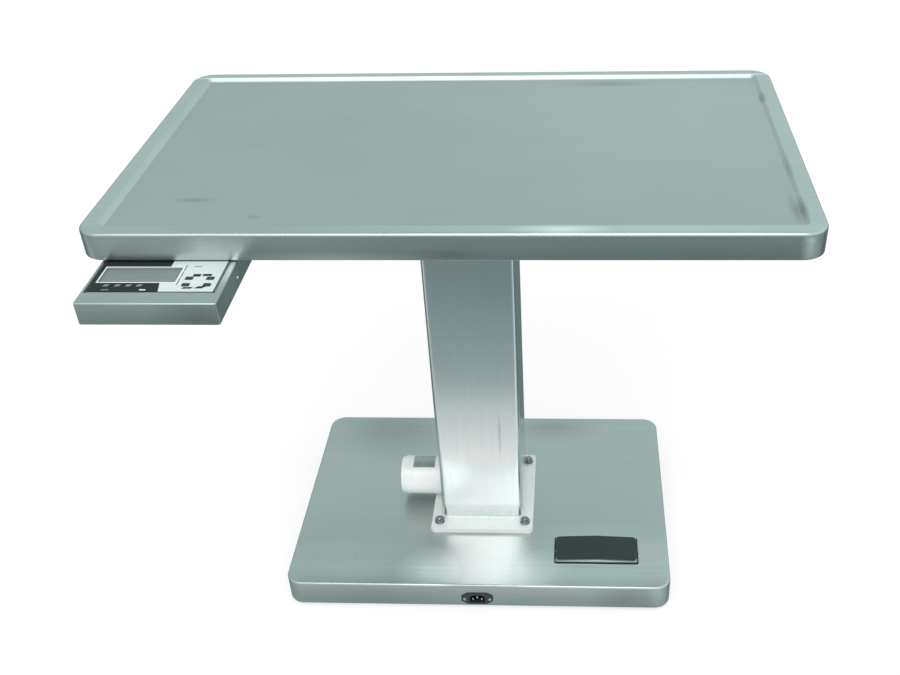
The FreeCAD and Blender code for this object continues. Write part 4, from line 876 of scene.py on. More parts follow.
def dress_sheet(mesh: bpy.types.Mesh, finishes: Sequence[Finish], below: float,
                skirt: int = 1) -> None:
    """Give a folded sheet its finishes, the brush lines of its skirt level all round.

    Args:
        mesh: The sheet's mesh.
        finishes: Its finishes in order, the first for its top.
        below: Height under which the skirt's upright faces lie.
        skirt: Number of the finish of the skirt's front and back; its sides take the next.
    """
    for finish in finishes:
        mesh.materials.append(finish.material())
    for face in mesh.polygons:
        if abs(face.normal.z) < UPRIGHT_NORMAL and face.center.z < below:
            face.material_index = skirt + (abs(face.normal.x) > abs(face.normal.y))


# ------------------------------------------------------------------ fasteners
@dataclass(frozen=True)
class ScrewHead:
    """A domed screw head with a round recess."""

    radius: float
    height: float
    sides: int = 28
    dome: Stops = ((1.0, 0.0), (1.0, 0.35), (0.86, 0.8), (0.55, 1.0))
    recess_share: float = 0.36
    recess: Stops = ((1.0, 1.0), (0.9, 0.45), (0.0, 0.4))

    def add(self, shape: Shape, place: Matrix) -> None:
        """Add the head to a shape.

        Args:
            shape: The shape that takes it.
            place: Its seat, whose local Z axis points out of it.
        """
        inner = self.radius * self.recess_share
        shape.turn([(reach * share, self.height * rise)
                    for reach, line in ((self.radius, self.dome), (inner, self.recess))
                    for share, rise in line], place, self.sides)


@dataclass(frozen=True)
class Hexagon:
    """A hexagon nut or head on a washer, with a threaded end where a stud stands out."""

    across: float = 0.013
    height: float = 0.0053
    washer: float = 0.0016
    washer_share: float = 0.615
    washer_edge: float = 0.0003
    chamfer: float = 0.0006
    steps: int = 48
    stud: float = 0.0
    stud_share: float = 0.3
    stud_sides: int = 28
    stud_chamfer: float = 0.0006
    thread_share: float = 0.88
    pitch: float = 0.001
    stud_lap: float = 0.0002
    tip_share: float = 0.82

    def add(self, shape: Shape, place: Matrix) -> None:
        """Add washer, hexagon and stud end to a shape.

        Args:
            shape: The shape that takes them.
            place: Seat of the washer, whose local Z axis points out of it.
        """
        rim, edge = self.across * self.washer_share, self.washer_edge
        shape.turn([(rim - edge, 0.0), (rim, edge), (rim, self.washer - edge),
                    (rim - edge, self.washer)], place)
        top, flat = self.washer + self.height, self.across / 2
        rings = []
        for most, height in ((math.inf, self.washer), (math.inf, top - self.chamfer), (flat, top)):
            ring = []
            for angle in (math.tau * number / self.steps for number in range(self.steps)):
                sector = (angle + math.pi / 6) % (math.pi / 3) - math.pi / 6
                radius = min(flat / math.cos(sector), most)
                ring.append(place @ Vector((radius * math.cos(angle), radius * math.sin(angle),
                                            height)))
            rings.append(ring)
        shape.loft(rings)
        if self.stud:
            self.add_stud(shape, place, top)

    def add_stud(self, shape: Shape, place: Matrix, low: float) -> None:
        """Add the stud's threaded end to a shape.

        Args:
            shape: The shape that takes it.
            place: Seat of the washer.
            low: Height of the nut's top above its seat.
        """
        radius, high = self.across * self.stud_share, low + self.stud
        profile = [(radius, low - self.stud_lap)]
        for base in (low + number * self.pitch for number in range(int(self.stud / self.pitch))):
            profile.extend([(radius, base),
                            (radius * self.thread_share, base + self.pitch / 2)])
        profile.extend([(radius, high - self.stud_chamfer), (radius * self.tip_share, high)])
        shape.turn(profile, place, self.stud_sides)


def add_screws(name: str, body: str, *rows: tuple[ScrewHead, Iterable[Matrix]]) -> None:
    """Add one piece of screw heads.

    Args:
        name: The piece's name.
        body: The body it rides on.
        rows: Pairs of a head and the seats that it is put on.
    """
    shape = Shape()
    for head, seats in rows:
        for seat in seats:
            head.add(shape, seat)
    shape.piece(name, "zinc_steel", body)


# ------------------------------------------------------------------ table
@dataclass
class FoldedCover:
    """A cover of thin sheet whose skirt is folded down and hemmed inwards."""

    width: float
    depth: float
    top: float
    corner: float
    skirt: float
    skin: float
    fold: float
    bend: float
    hem: float

    def skirt_profile(self) -> list[Point]:
        """Section from the top's outer edge round the skirt to the top's underside.

        Returns:
            Points of (distance in from the edge, height).
        """
        low, top, skin = self.top - self.skirt, self.top, self.skin
        fold, bend = self.fold, self.bend
        folded = [(fold - fold * math.sin(a), top - fold + fold * math.cos(a))
                  for a in map(math.radians, FOLD_ANGLES)]
        turned = [(bend * (1 - math.cos(a)), low + bend * (1 - math.sin(a)))
                  for a in map(math.radians, BEND_ANGLES)]
        return [(fold, top), *folded, (0.0, low + self.skirt / 2), (0.0, low + bend), *turned,
                (self.hem, low), (self.hem, low + skin), (skin, low + skin), (skin, top - fold),
                (fold, top - skin)]


@dataclass
class TablePan(FoldedCover):
    """The stainless pan: raised flat rim, shallow recess, folded skirt."""

    width: float = 0.900
    depth: float = 0.530
    top: float = 0.705
    corner: float = 0.030
    skirt: float = 0.0365
    skin: float = 0.0012
    fold: float = 0.0045
    bend: float = 0.0016
    hem: float = 0.012
    land: float = 0.017
    side_extra: float = 0.005
    front_extra: float = 0.0045
    back_extra: float = 0.001
    slope: float = 0.0045
    recess: float = 0.006
    recess_corner: float = 0.009
    slope_foot: Stops = ((0.0028, 0.0), (0.0012, 0.0001), (0.0003, 0.0004), (-0.0006, 0.0012))
    slope_head: Stops = ((0.0008, -0.0012), (0.0, -0.0004), (-0.0010, -0.0001), (-0.0022, 0.0))
    floor_edge: float = 0.006
    least_corner: float = 0.002
    floor_slack: float = 0.0006
    under_lap: float = 0.001
    corner_steps: int = 12
    side_steps: int = 30
    wave: float = 0.00035
    wave_reach: float = 0.010
    wave_scale: float = 9.0
    wave_below: float = 0.0005
    wave_inside: float = 0.004
    sharp: float = 28.0

    def profile(self) -> list[Point]:
        """Section from the recess's floor round the skirt to the floor's underside.

        Returns:
            Points of (distance in from the edge, height).
        """
        top, floor, land = self.top, self.top - self.recess, self.land
        run = land + self.slope
        rim = [(run + self.floor_edge, floor),
               *((run + out, floor + rise) for out, rise in self.slope_foot),
               *((land + out, top + rise) for out, rise in self.slope_head), (land * 0.5, top)]
        under = [(land - self.under_lap, top - self.skin),
                 (run - self.skin * 0.5, floor - self.skin),
                 (run + self.floor_edge, floor - self.skin)]
        return rim + self.skirt_profile() + under

    def ripple(self, point: Vector) -> Vector:
        """Slight waves that folding leaves in the recess's slope and the rim.

        Args:
            point: A point of the pan.

        Returns:
            How far it moves.
        """
        inset = min(self.width / 2 - abs(point.x) - self.side_extra,
                    self.depth / 2 + point.y - self.front_extra,
                    self.depth / 2 - point.y - self.back_extra)
        lowest = self.top - self.recess - self.wave_below
        if point.z < lowest or inset > self.land + self.slope + self.wave_inside:
            return Vector()
        share = max(0.0, 1.0 - abs(inset - self.land - self.slope / 2) / self.wave_reach)
        lift = noise.noise(Vector((point.x * self.wave_scale, point.y * self.wave_scale, 0.0)))
        return Vector((0.0, 0.0, lift * self.wave * share))

    def ring(self, inset: float, height: float) -> list[Vector]:
        """Outline of the pan at one point of its section; the rim is wider at the sides.

        Args:
            inset: The section's distance in from the edge.
            height: The section's height.

        Returns:
            The outline's points.
        """
        share = min(1.0, max(0.0, (inset - self.fold) / (self.land - self.fold)))
        if height < self.top - self.recess - self.fold:
            share = 0.0
        radius = self.corner - inset + (self.recess_corner - (self.corner - self.land)) * share
        front, back = inset + share * self.front_extra, inset + share * self.back_extra
        plan = rounded_ring(self.width - 2 * (inset + share * self.side_extra),
                            self.depth - front - back, max(radius, self.least_corner),
                            self.corner_steps, self.side_steps)
        return level_ring(plan, height, y=(front - back) / 2)

    def build(self) -> None:
        """Build the pan, with its own finishes on the floor and on the skirt."""
        shape = Shape().loft([self.ring(inset, height) for inset, height in self.profile()])
        mesh = shape.warp(self.ripple).mesh("table_pan_sheet", self.sharp)
        dress_sheet(mesh, (RIM_SATIN, PAN_FLOOR, SKIRT_SATIN, SKIRT_SIDE), self.top - self.fold, 2)
        for face in mesh.polygons:
            low = face.center.z < self.top - self.recess + self.floor_slack
            if low and face.normal.z > LEVEL_NORMAL:
                face.material_index = 1
        add_piece("table_pan_sheet", mesh, "stainless_sheet", "lift", replaces=("table_pan",))


@dataclass
class WeighingFrame:
    """Fasteners of the frame under the pan."""

    plate_low: float = 0.662
    bolt_spread: float = 0.150
    bolt: Hexagon = Hexagon()
    rail_top: float = 0.690
    cell_x: Point = (0.2925, 0.3175)
    cell_y: float = 0.150
    cell_screw: ScrewHead = ScrewHead(0.005, 0.0042)
    box_top: float = 0.688
    lid_x: float = 0.029
    lid_y: Point = (0.041, 0.079)
    lid_screw: ScrewHead = ScrewHead(0.0022, 0.0012)

    def build(self) -> None:
        """Build the bolts of the head plate, the load cells and the junction box."""
        heads = Shape()
        for x, y in corners(self.bolt_spread / 2, self.bolt_spread / 2):
            self.bolt.add(heads, facing(x, y, self.plate_low, DOWN))
        heads.piece("head_plate_bolts", "zinc_steel", "lift")
        add_screws("load_cell_screws", "lift", (self.cell_screw, [
            upright(x_side * x, y, self.rail_top)
            for x_side, y in corners(1, self.cell_y) for x in self.cell_x]))
        add_screws("junction_box_screws", "lift", (self.lid_screw, [
            upright(side * self.lid_x, y, self.box_top) for side in SIDES for y in self.lid_y]))


# ------------------------------------------------------------------ column and motor
@dataclass
class Column:
    """Fixed column: weld at its foot, flange nuts, and the motor that enters its side."""

    width: float = 0.134
    corner: float = 0.008
    foot: float = 0.0615
    weld_section: Stops = ((0.0038, 0.0), (0.0036, 0.0010), (0.0027, 0.0023), (0.0013, 0.0034),
                           (-0.0004, 0.0039), (-0.0006, 0.0002))
    bead_rate: float = 1500.0
    bead_grain: float = 160.0
    bead_swell: float = 0.0005
    bead_lift: float = 0.6
    bead_rise: float = 0.003
    bead_sharp: float = 60.0
    bead_slant: float = 1.7
    weld_steps: tuple[int, int] = (10, 60)
    bolt_x: float = 0.071
    bolt_y: float = 0.077
    nut: Hexagon = Hexagon(stud=0.003)
    nut_turn: Triple = (0.4, 0.5, 0.3)
    motor_z: float = 0.097
    motor_radius: float = 0.0325
    motor_neck: float = 0.031
    motor_left: float = -0.139
    motor_right: float = -0.042
    motor_sides: int = 72
    can_section: Stops = ((-0.0012, 0.0), (0.0, 0.0008), (0.0, 0.0100), (-0.0004, 0.0104),
                          (-0.0004, 0.0112), (0.0, 0.0116))
    wall_gap: float = 0.001
    cap_depth: float = 0.006
    cap_step: float = 0.0015
    cap_edge: float = 0.003
    cap_angles: tuple[int, ...] = (22, 45, 68, 90)
    cap_dimple: Stops = ((0.012, 0.006), (0.0115, 0.0054), (0.0, 0.0054))
    cap_screw: ScrewHead = ScrewHead(0.003, 0.0018)
    cap_screw_y: float = 0.021
    cap_screw_sink: float = 0.0008
    plate_x: Point = (-0.118, -0.082)
    plate_angles: Point = (62.0, 114.0)
    plate_skin: float = 0.00035
    plate_sink: float = 0.00005
    plate_steps: int = 12

    def bead(self, point: Vector) -> Vector:
        """Ripples of the weld bead along its run.

        Args:
            point: A point of the bead.

        Returns:
            How far it moves.
        """
        along = point.x + point.y * self.bead_slant
        swell = (0.5 * math.sin(along * self.bead_rate)
                 + noise.noise(point * self.bead_grain))
        away = Vector((point.x, point.y, 0.0)).normalized()
        high = min(1.0, (point.z - self.foot) / self.bead_rise)
        return (away + Vector((0, 0, self.bead_lift))) * (self.bead_swell * swell * high)

    def build_weld(self) -> None:
        """Build the weld bead round the column's foot."""
        rings = [level_ring(rounded_ring(self.width + 2 * spread, self.width + 2 * spread,
                                         self.corner + spread, *self.weld_steps),
                            self.foot + height)
                 for spread, height in self.weld_section]
        Shape().loft(rings, closed=True).warp(self.bead).piece(
            "column_foot_weld", "stainless_tube", "base", finish=WELD, degrees=self.bead_sharp)

    def build_nuts(self) -> None:
        """Build the four flange nuts with washers and stud ends."""
        nuts = Shape()
        first, across, along = self.nut_turn
        for x_side, y_side in corners(1, 1):
            seat = upright(x_side * self.bolt_x, y_side * self.bolt_y, self.foot)
            turn = Matrix.Rotation(first + across * x_side + along * y_side, 4, "Z")
            self.nut.add(nuts, seat @ turn)
        nuts.piece("flange_nuts", "zinc_steel", "base", finish=NUT_ZINC,
                   replaces=("flange_bolts",))

    def build_motor(self) -> None:
        """Build the motor's can and its end cap with screws."""
        radius, neck, edge = self.motor_radius, self.motor_neck, self.cap_edge
        seam = self.motor_left + self.cap_depth
        wall = -self.width / 2 - self.wall_gap - seam
        can = Shape().turn([*((radius + out, along) for out, along in self.can_section),
                            (radius, wall), (neck, wall), (neck, self.motor_right - seam)],
                           facing(seam, 0.0, self.motor_z, (1, 0, 0)), self.motor_sides)
        can.piece("motor_can", "motor_enamel", "base", replaces=("motor_housing",))
        rim = radius - self.cap_step
        rounding = [(rim - edge + edge * math.cos(a), edge + edge * math.sin(a))
                    for a in map(math.radians, self.cap_angles)]
        cap = Shape().turn([(rim, 0.0), (rim, edge), *rounding, *self.cap_dimple],
                           facing(seam, 0.0, self.motor_z, (-1, 0, 0)), self.motor_sides)
        for side in SIDES:
            seat = facing(self.motor_left, side * self.cap_screw_y, self.motor_z, (-1, 0, 0))
            self.cap_screw.add(cap, seat @ upright(0, 0, -self.cap_screw_sink))
        cap.piece("motor_cap", "motor_enamel", "base", replaces=("motor_end_cap",))

    def build_plate(self) -> None:
        """Build the bare plate that lies on the motor's can."""
        (left, right), (start, end), steps = self.plate_x, self.plate_angles, self.plate_steps
        rows = []
        for angle in (math.radians(start + (end - start) * step / steps)
                      for step in range(steps + 1)):
            row = []
            for x, lift in ((left, 0.0), (left, self.plate_skin), (right, self.plate_skin),
                            (right, 0.0)):
                reach = self.motor_radius + lift - self.plate_sink
                row.append(Vector((x, -reach * math.cos(angle),
                                   self.motor_z + reach * math.sin(angle))))
            rows.append(row)
        Shape().loft(rows).piece("motor_bare_plate", "motor_enamel", "base", finish=BARE_PLATE)

    def build(self) -> None:
        """Build all the column's pieces."""
        for step in (self.build_weld, self.build_nuts, self.build_motor, self.build_plate):
            step()


# ------------------------------------------------------------------ base
@dataclass
class Base(FoldedCover):
    """Base cover of folded sheet, rubber feet, inlet fittings and small screws."""

    width: float = 0.608
    depth: float = 0.424
    top: float = 0.0535
    corner: float = 0.025
    skirt: float = 0.0455
    skin: float = 0.0015
    fold: float = 0.003
    bend: float = 0.0018
    hem: float = 0.009
    top_edge: float = 0.030
    cut_reach: float = 0.004
    least_corner: float = 0.001
    corner_steps: int = 12
    side_steps: int = 6
    pedal_place: Point = (0.188, -0.133)
    pedal_opening: Point = (0.135, 0.059)
    pedal_corner: float = 0.003
    anchor_opening: Point = (0.157, 0.173)
    anchor_corner: float = 0.0005
    inlet_z: float = 0.025
    inlet_opening: Point = (0.0281, 0.0211)
    inlet_corner: float = 0.0003
    inlet_screw: ScrewHead = ScrewHead(0.0026, 0.0014)
    inlet_screw_x: float = 0.020
    inlet_screw_out: float = 0.0022
    foot_x: float = 0.279
    foot_y: float = 0.180
    foot_profile: Stops = ((0.0, 0.0012), (0.006, 0.0012), (0.0065, 0.0), (0.0150, 0.0),
                           (0.0160, 0.0012), (0.0157, 0.0040), (0.0150, 0.0046),
                           (0.0133, 0.0140))
    foot_sides: int = 48
    box_screw: ScrewHead = ScrewHead(0.0024, 0.0014)
    box_x: Point = (-0.224, -0.096)
    box_y: Point = (-0.175, -0.107)
    box_z: float = 0.018
    bracket_screw: ScrewHead = ScrewHead(0.0026, 0.0015)
    bracket_x: Point = (0.135, 0.241)
    bracket_y: Point = (-0.0983, -0.1677)
    bracket_z: float = 0.0505

    def build_cover(self) -> None:
        """Build the cover and cut its openings for pedal, anchor plate and inlet."""
        section = [(self.top_edge, self.top), *self.skirt_profile(),
                   (self.top_edge, self.top - self.skin)]
        mesh = Shape().loft([level_ring(
            rounded_ring(self.width - 2 * inset, self.depth - 2 * inset,
                         max(self.corner - inset, self.least_corner), self.corner_steps,
                         self.side_steps), height)
            for inset, height in section]).mesh("base_cover_sheet")
        low, high = self.top - self.cut_reach, self.top + self.cut_reach
        inlet_width, inlet_height = self.inlet_opening
        tool = Shape().slab(self.pedal_place, self.pedal_opening, low, high, self.pedal_corner)
        tool.slab((0.0, 0.0), self.anchor_opening, low, high, self.anchor_corner)
        tool.slab((0.0, -self.depth / 2), (inlet_width, 2 * self.cut_reach),
                  self.inlet_z - inlet_height / 2, self.inlet_z + inlet_height / 2,
                  self.inlet_corner)
        mesh = cut_away(mesh, tool.mesh("cover_openings"))
        dress_sheet(mesh, (BASE_TOP, BASE_SKIRT, BASE_SIDE), self.top - self.fold)
        add_piece("base_cover_sheet", mesh, "stainless_sheet", "base", replaces=("base_cover",))

    def build_feet(self) -> None:
        """Build the four moulded feet."""
        feet = Shape()
        for x, y in corners(self.foot_x, self.foot_y):
            feet.turn(self.foot_profile, upright(x, y, 0.0), self.foot_sides)
        feet.piece("feet_moulded", "black_rubber", "base", replaces=("rubber_feet",))

    def build_fasteners(self) -> None:
        """Build the screws of inlet, pedal bracket and control box."""
        front = -self.depth / 2 - self.inlet_screw_out
        add_screws("inlet_screws", "base", (self.inlet_screw, [
            facing(side * self.inlet_screw_x, front, self.inlet_z, (0, -1, 0))
            for side in SIDES]))
        box = [facing(x, y, self.box_z, DOWN) for x in self.box_x for y in self.box_y]
        bracket = [facing(x, y, self.bracket_z, DOWN)
                   for x in self.bracket_x for y in self.bracket_y]
        add_screws("base_underside_screws", "base", (self.box_screw, box),
                   (self.bracket_screw, bracket))

    def build(self) -> None:
        """Build all the base's pieces."""
        for step in (self.build_cover, self.build_feet, self.build_fasteners):
            step()


@dataclass
class Pedal:
    """Rubber tread and the two return leaves of the rocker pedal."""

    x: float = 0.188
    end_top: float = 0.0565
    ridge: float = 0.003
    half: float = 0.065
    front: float = -0.1555
    back: float = -0.107
    thickness: float = 0.003
    edge: float = 0.0009
    edge_share: float = 0.3
    margin: float = 0.0002
    corner: float = 0.006
    corner_steps: int = 8
    side_steps: int = 24
    sharp: float = 40.0
    leaf_y: float = -0.148
    leaf_width: float = 0.014
    leaf_skin: float = 0.0012
    leaf_low: float = 0.0215
    leaf_line: Stops = ((0.012, 0.0), (0.018, 0.0), (0.024, 0.0), (0.0302, 0.0064),
                        (0.0364, 0.0128), (0.0426, 0.0192), (0.0488, 0.0256),
                        (0.055, 0.03196), (0.061, 0.02896))
    leaf_bend: float = 0.024
    leaf_crest: float = 0.055

    def seat(self, point: Vector) -> Vector:
        """Lift of a point of the tread onto the plate's two slopes."""
        share = abs(point.x - self.x) / self.half
        return Vector((0.0, 0.0, self.end_top + self.ridge * (1.0 - share)))

    def build_tread(self) -> None:
        """Build the tread as a strip that follows the plate's two slopes."""
        width, depth = 2 * (self.half - self.margin), self.back - self.front
        edge, thick, eased = self.edge, self.thickness, self.edge * self.edge_share
        shape = Shape().loft([level_ring(
            rounded_ring(width - 2 * inset, depth - 2 * inset, self.corner - inset,
                         self.corner_steps, self.side_steps),
            height, self.x, (self.front + self.back) / 2)
            for inset, height in ((0.0, 0.0), (0.0, thick - edge), (eased, thick - eased),
                                  (edge, thick))])
        bmesh.ops.triangulate(shape.build,
                              faces=[face for face in shape.build.faces if len(face.verts) > 4])
        shape.warp(self.seat).piece("pedal_tread", "black_rubber", "pedal",
                                    replaces=("pedal_pad",), degrees=self.sharp)

    def build_leaves(self) -> None:
        """Build the two return leaves, whose crests follow the pedal plate."""
        front, back = (self.leaf_y + half * self.leaf_width for half in (-0.5, 0.5))
        for name, side in (("pedal_leaf_left", -1), ("pedal_leaf_right", 1)):
            rings = []
            for out, rise in self.leaf_line:
                x, low = self.x + side * out, self.leaf_low + rise
                high = low + self.leaf_skin
                rings.append([Vector((x, front, low)), Vector((x, back, low)),
                              Vector((x, back, high)), Vector((x, front, high))])
            leaf = Shape().loft(rings).piece(name, "ground_steel", None,
                                             replaces=("pedal_springs",))
            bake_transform(leaf)

    def build(self) -> None:
        """Build the tread and the leaves."""
        self.build_tread()
        self.build_leaves()


# ------------------------------------------------------------------ indicator tray
def patch(left: float, right: float, front: float, back: float) -> list[Point]:
    """Outline of a rectangle between its four sides."""
    return [(left, front), (right, front), (right, back), (left, back)]


def bar(x: float, y: float, width: float, depth: float, lean: float = 0.0) -> list[Point]:
    """Outline of a short bar about a middle, leaning sideways towards the back."""
    return [(x - width / 2, y - depth / 2), (x + width / 2 - lean, y - depth / 2),
            (x + width / 2, y + depth / 2), (x - width / 2 + lean, y + depth / 2)]


def outline_slab(shape: Shape, outline: Edges, grown: float, low: float, high: float,
                 corner: float, edge: float = 0.0) -> Shape:
    """Add a rounded block of a rectangle's outline to a shape.

    Args:
        shape: The shape that takes it.
        outline: Left, right, front and back of the rectangle.
        grown: How much wider and deeper than that the block is.
        low: Height of its underside.
        high: Height of its top.
        corner: Radius of its corners.
        edge: Radius of its upper edge.

    Returns:
        The shape.
    """
    left, right, front, back = outline
    return shape.slab(((left + right) / 2, (front + back) / 2),
                      (right - left + grown, back - front + grown), low, high, corner, 0.0, edge)


@dataclass
class IndicatorTray:
    """Pull-out tray with the weight indicator let into its top."""

    x: float = -0.3383
    front: float = -0.360
    back: float = -0.120
    width: float = 0.1666
    top: float = 0.6673
    low: float = 0.6378
    skin: float = 0.0012
    corner: float = 0.003
    fold: float = 0.0019
    corner_steps: int = 6
    notch_x: float = -0.336
    low_edge: float = 0.0012
    hollow_corner: float = 0.002
    notch_size: Point = (0.016, 0.008)
    notch_height: Point = (0.6455, 0.6545)
    notch_corner: float = 0.0005
    side_screw: ScrewHead = ScrewHead(0.0030, 0.0016)
    side_screw_place: Point = (-0.2735, 0.650)
    panel: Edges = (-0.417, -0.263, -0.337, -0.261)
    panel_gap: float = 0.001
    panel_corner: float = 0.0022
    panel_edge: float = 0.0003
    opening_corner: float = 0.0023
    cut_reach: float = 0.004
    plate_reach: float = 0.001
    film_top: float = 0.6670
    film: float = 0.0004
    bezel: float = 0.0026
    film_gap: float = 0.002
    glass: Edges = (-0.4095, -0.3165, -0.3125, -0.2785)
    glass_corner: float = 0.0006
    pane_gap: float = 0.0006
    pane_corner: float = 0.0005
    pane_edge: float = 0.0002
    pane_rise: float = 0.0001
    face_lap: float = 0.002
    face_edge: float = 0.0003
    key_x: Point = (-0.30225, -0.27695)
    key_y: Point = (-0.31845, -0.30375)
    key: Point = (0.0096, 0.0071)
    key_corner: float = 0.0008
    print_margin: float = 0.0012
    print_border: float = 0.0016
    zone_x: Point = (-0.3300, -0.3322)
    zone_slant_x: float = -0.3345
    front_borders: float = 1.4
    back_borders: float = 0.7
    dark_ink: float = 0.00005
    frame_ink: float = 0.00008
    mark_ink: float = 0.00009
    key_ink: float = 0.00007
    mark_x: tuple[float, ...] = (-0.3965, -0.3828, -0.3696, -0.3567)
    mark_bar: Bar = (-0.3200, 0.0078, 0.0042, 0.0018)
    wide_mark: Bar = (-0.3944, -0.3298, 0.0090, 0.0016)
    light_mark: Bar = (-0.3499, -0.3298, 0.0075, 0.0022)
    small_mark: Bar = (-0.2990, -0.2765, 0.0090, 0.0020)
    key_bars: tuple[Bar, ...] = (
        (-0.2948, -0.2968, 0.0092, 0.0060), (-0.2826, -0.2962, 0.0110, 0.0048),
        (-0.2985, -0.3253, 0.0135, 0.0036, 0.002), (-0.2835, -0.3240, 0.0145, 0.0050, 0.005))
    key_line: Point = (-0.3137, -0.3127)
    key_line_runs: Stops = ((-0.3190, -0.3030), (-0.3015, -0.2880), (-0.2865, -0.2725))

    def build_shell(self) -> None:
        """Build the tray's folded shell with its openings and side screws."""
        middle = (self.x, (self.front + self.back) / 2)
        size = (self.width, self.back - self.front)
        shell = Shape().slab(middle, size, self.low, self.top, self.corner, self.low_edge,
                             self.fold, self.corner_steps)
        hollow = (size[0] - 2 * self.skin, size[1] - 2 * self.skin)
        tool = Shape().slab(middle, hollow, self.low + self.skin, self.top - self.skin,
                            self.hollow_corner)
        mesh = cut_away(shell.mesh("tray_box"), tool.mesh("tray_hollow"))
        opening = outline_slab(Shape(), self.panel, self.panel_gap, self.top - self.cut_reach,
                               self.top + self.cut_reach, self.opening_corner)
        opening.slab((self.notch_x, self.back), self.notch_size, *self.notch_height,
                     self.notch_corner)
        mesh = cut_away(mesh, opening.mesh("tray_openings"))
        dress_sheet(mesh, (SLOT_FINISH["stainless_sheet"], SKIRT_SATIN, SKIRT_SIDE), self.top)
        add_piece("tray_box", mesh, "stainless_sheet", "tray", replaces=("tray_shell",))
        add_screws("tray_side_screws", "tray", (self.side_screw, [
            facing(self.x + side * self.width / 2, *self.side_screw_place, (side, 0, 0))
            for side in SIDES]))

    def plate(self, name: str, grown: float, low: float, high: float) -> bpy.types.Mesh:
        """A plate of the panel with its display and key openings.

        Args:
            name: Name of its mesh.
            grown: How much wider and deeper than the panel it is.
            low: Height of its underside.
            high: Height of its top.

        Returns:
            The cut mesh.
        """
        body = outline_slab(Shape(), self.panel, grown, low, high, self.panel_corner,
                            min(self.panel_edge, (high - low) / 3))
        below, above = low - self.plate_reach, high + self.plate_reach
        tool = outline_slab(Shape(), self.glass, 0.0, below, above, self.glass_corner)
        for x in self.key_x:
            for y in self.key_y:
                tool.slab((x, y), self.key, below, above, self.key_corner)
        return cut_away(body.mesh(name), tool.mesh(name + "_openings"))

    def build_panel(self) -> None:
        """Build the indicator's bezel, film, window and display."""
        under = self.film_top - self.film
        add_piece("panel_bezel", self.plate("panel_bezel", 0.0, under - self.bezel, under),
                  "black_plastic", "tray", replaces=("indicator_bezel",))
        add_piece("panel_film", self.plate("panel_film", -self.film_gap, under, self.film_top),
                  "overlay_film", "tray", replaces=("indicator_overlay",))
        pane = outline_slab(Shape(), self.glass, -self.pane_gap, under - self.bezel,
                            under + self.pane_rise, self.pane_corner, self.pane_edge)
        pane.piece("display_pane", "window_glass", "tray", replaces=("display_window",))
        low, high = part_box("display_module")
        face = outline_slab(Shape(), self.glass, self.face_lap, low.z, high.z,
                            self.glass_corner, self.face_edge)
        face.piece("display_face", "display_panel", "tray", replaces=("display_module",))

    def print_area(self, name: str, finish: Finish, height: float,
                   outlines: Sequence[Sequence[Point]]) -> None:
        """Lay thin printed areas on the film.

        Args:
            name: Name of the piece.
            finish: The ink.
            height: Thickness of the ink.
            outlines: Outlines in plan, each turning left.
        """
        shape = Shape()
        for outline in outlines:
            shape.loft([level_ring(outline, self.film_top),
                        level_ring(outline, self.film_top + height)])
        shape.piece(name, "overlay_film", "tray", finish=finish)

    def build_print(self) -> None:
        """Build the dark zone round the display, its light frame and the plain marks."""
        margin, border, inner = self.print_margin, self.print_border, self.glass
        left, right, front, back = (side + step * margin
                                    for side, step in zip(self.panel, (1, -1, 1, -1)))
        outer = [side - step * border for side, step in zip(inner, (1, -1, 1, -1))]
        low_x, high_x = self.zone_x
        front_end = front + border * self.front_borders
        back_end = back - border * self.back_borders
        self.print_area("panel_print_dark", PRINT_BLACK, self.dark_ink, [
            [(left, front), (low_x, front), (self.zone_slant_x, outer[2]), (left, outer[2])],
            patch(left, outer[0], outer[2], outer[3]),
            patch(left, high_x, outer[3], back),
            patch(low_x, right, front, front_end),
            patch(right - border, right, front_end, back),
            patch(high_x, right - border, back_end, back)])
        self.print_area("panel_print_frame", PRINT_WHITE, self.frame_ink, [
            patch(outer[0], outer[1], outer[2], inner[2]),
            patch(inner[1], outer[1], inner[2], outer[3]),
            patch(outer[0], inner[1], inner[3], outer[3]),
            patch(outer[0], inner[0], inner[2], inner[3])])
        self.print_area("panel_print_marks", PRINT_GREY, self.mark_ink, [
            *(bar(x, *self.mark_bar) for x in self.mark_x), bar(*self.wide_mark)])
        self.print_area("panel_print_light_mark", PRINT_WHITE, self.mark_ink,
                        [bar(*self.light_mark)])
        self.print_area("panel_print_legends", PRINT_BLACK, self.key_ink, [
            *(bar(*size) for size in self.key_bars),
            *(patch(*self.key_line, low, high) for low, high in self.key_line_runs)])
        self.print_area("panel_print_small_mark", PRINT_GREY, self.key_ink,
                        [bar(*self.small_mark)])

    def build(self) -> None:
        """Build all the tray's pieces."""
        for step in (self.build_shell, self.build_panel, self.build_print):
            step()


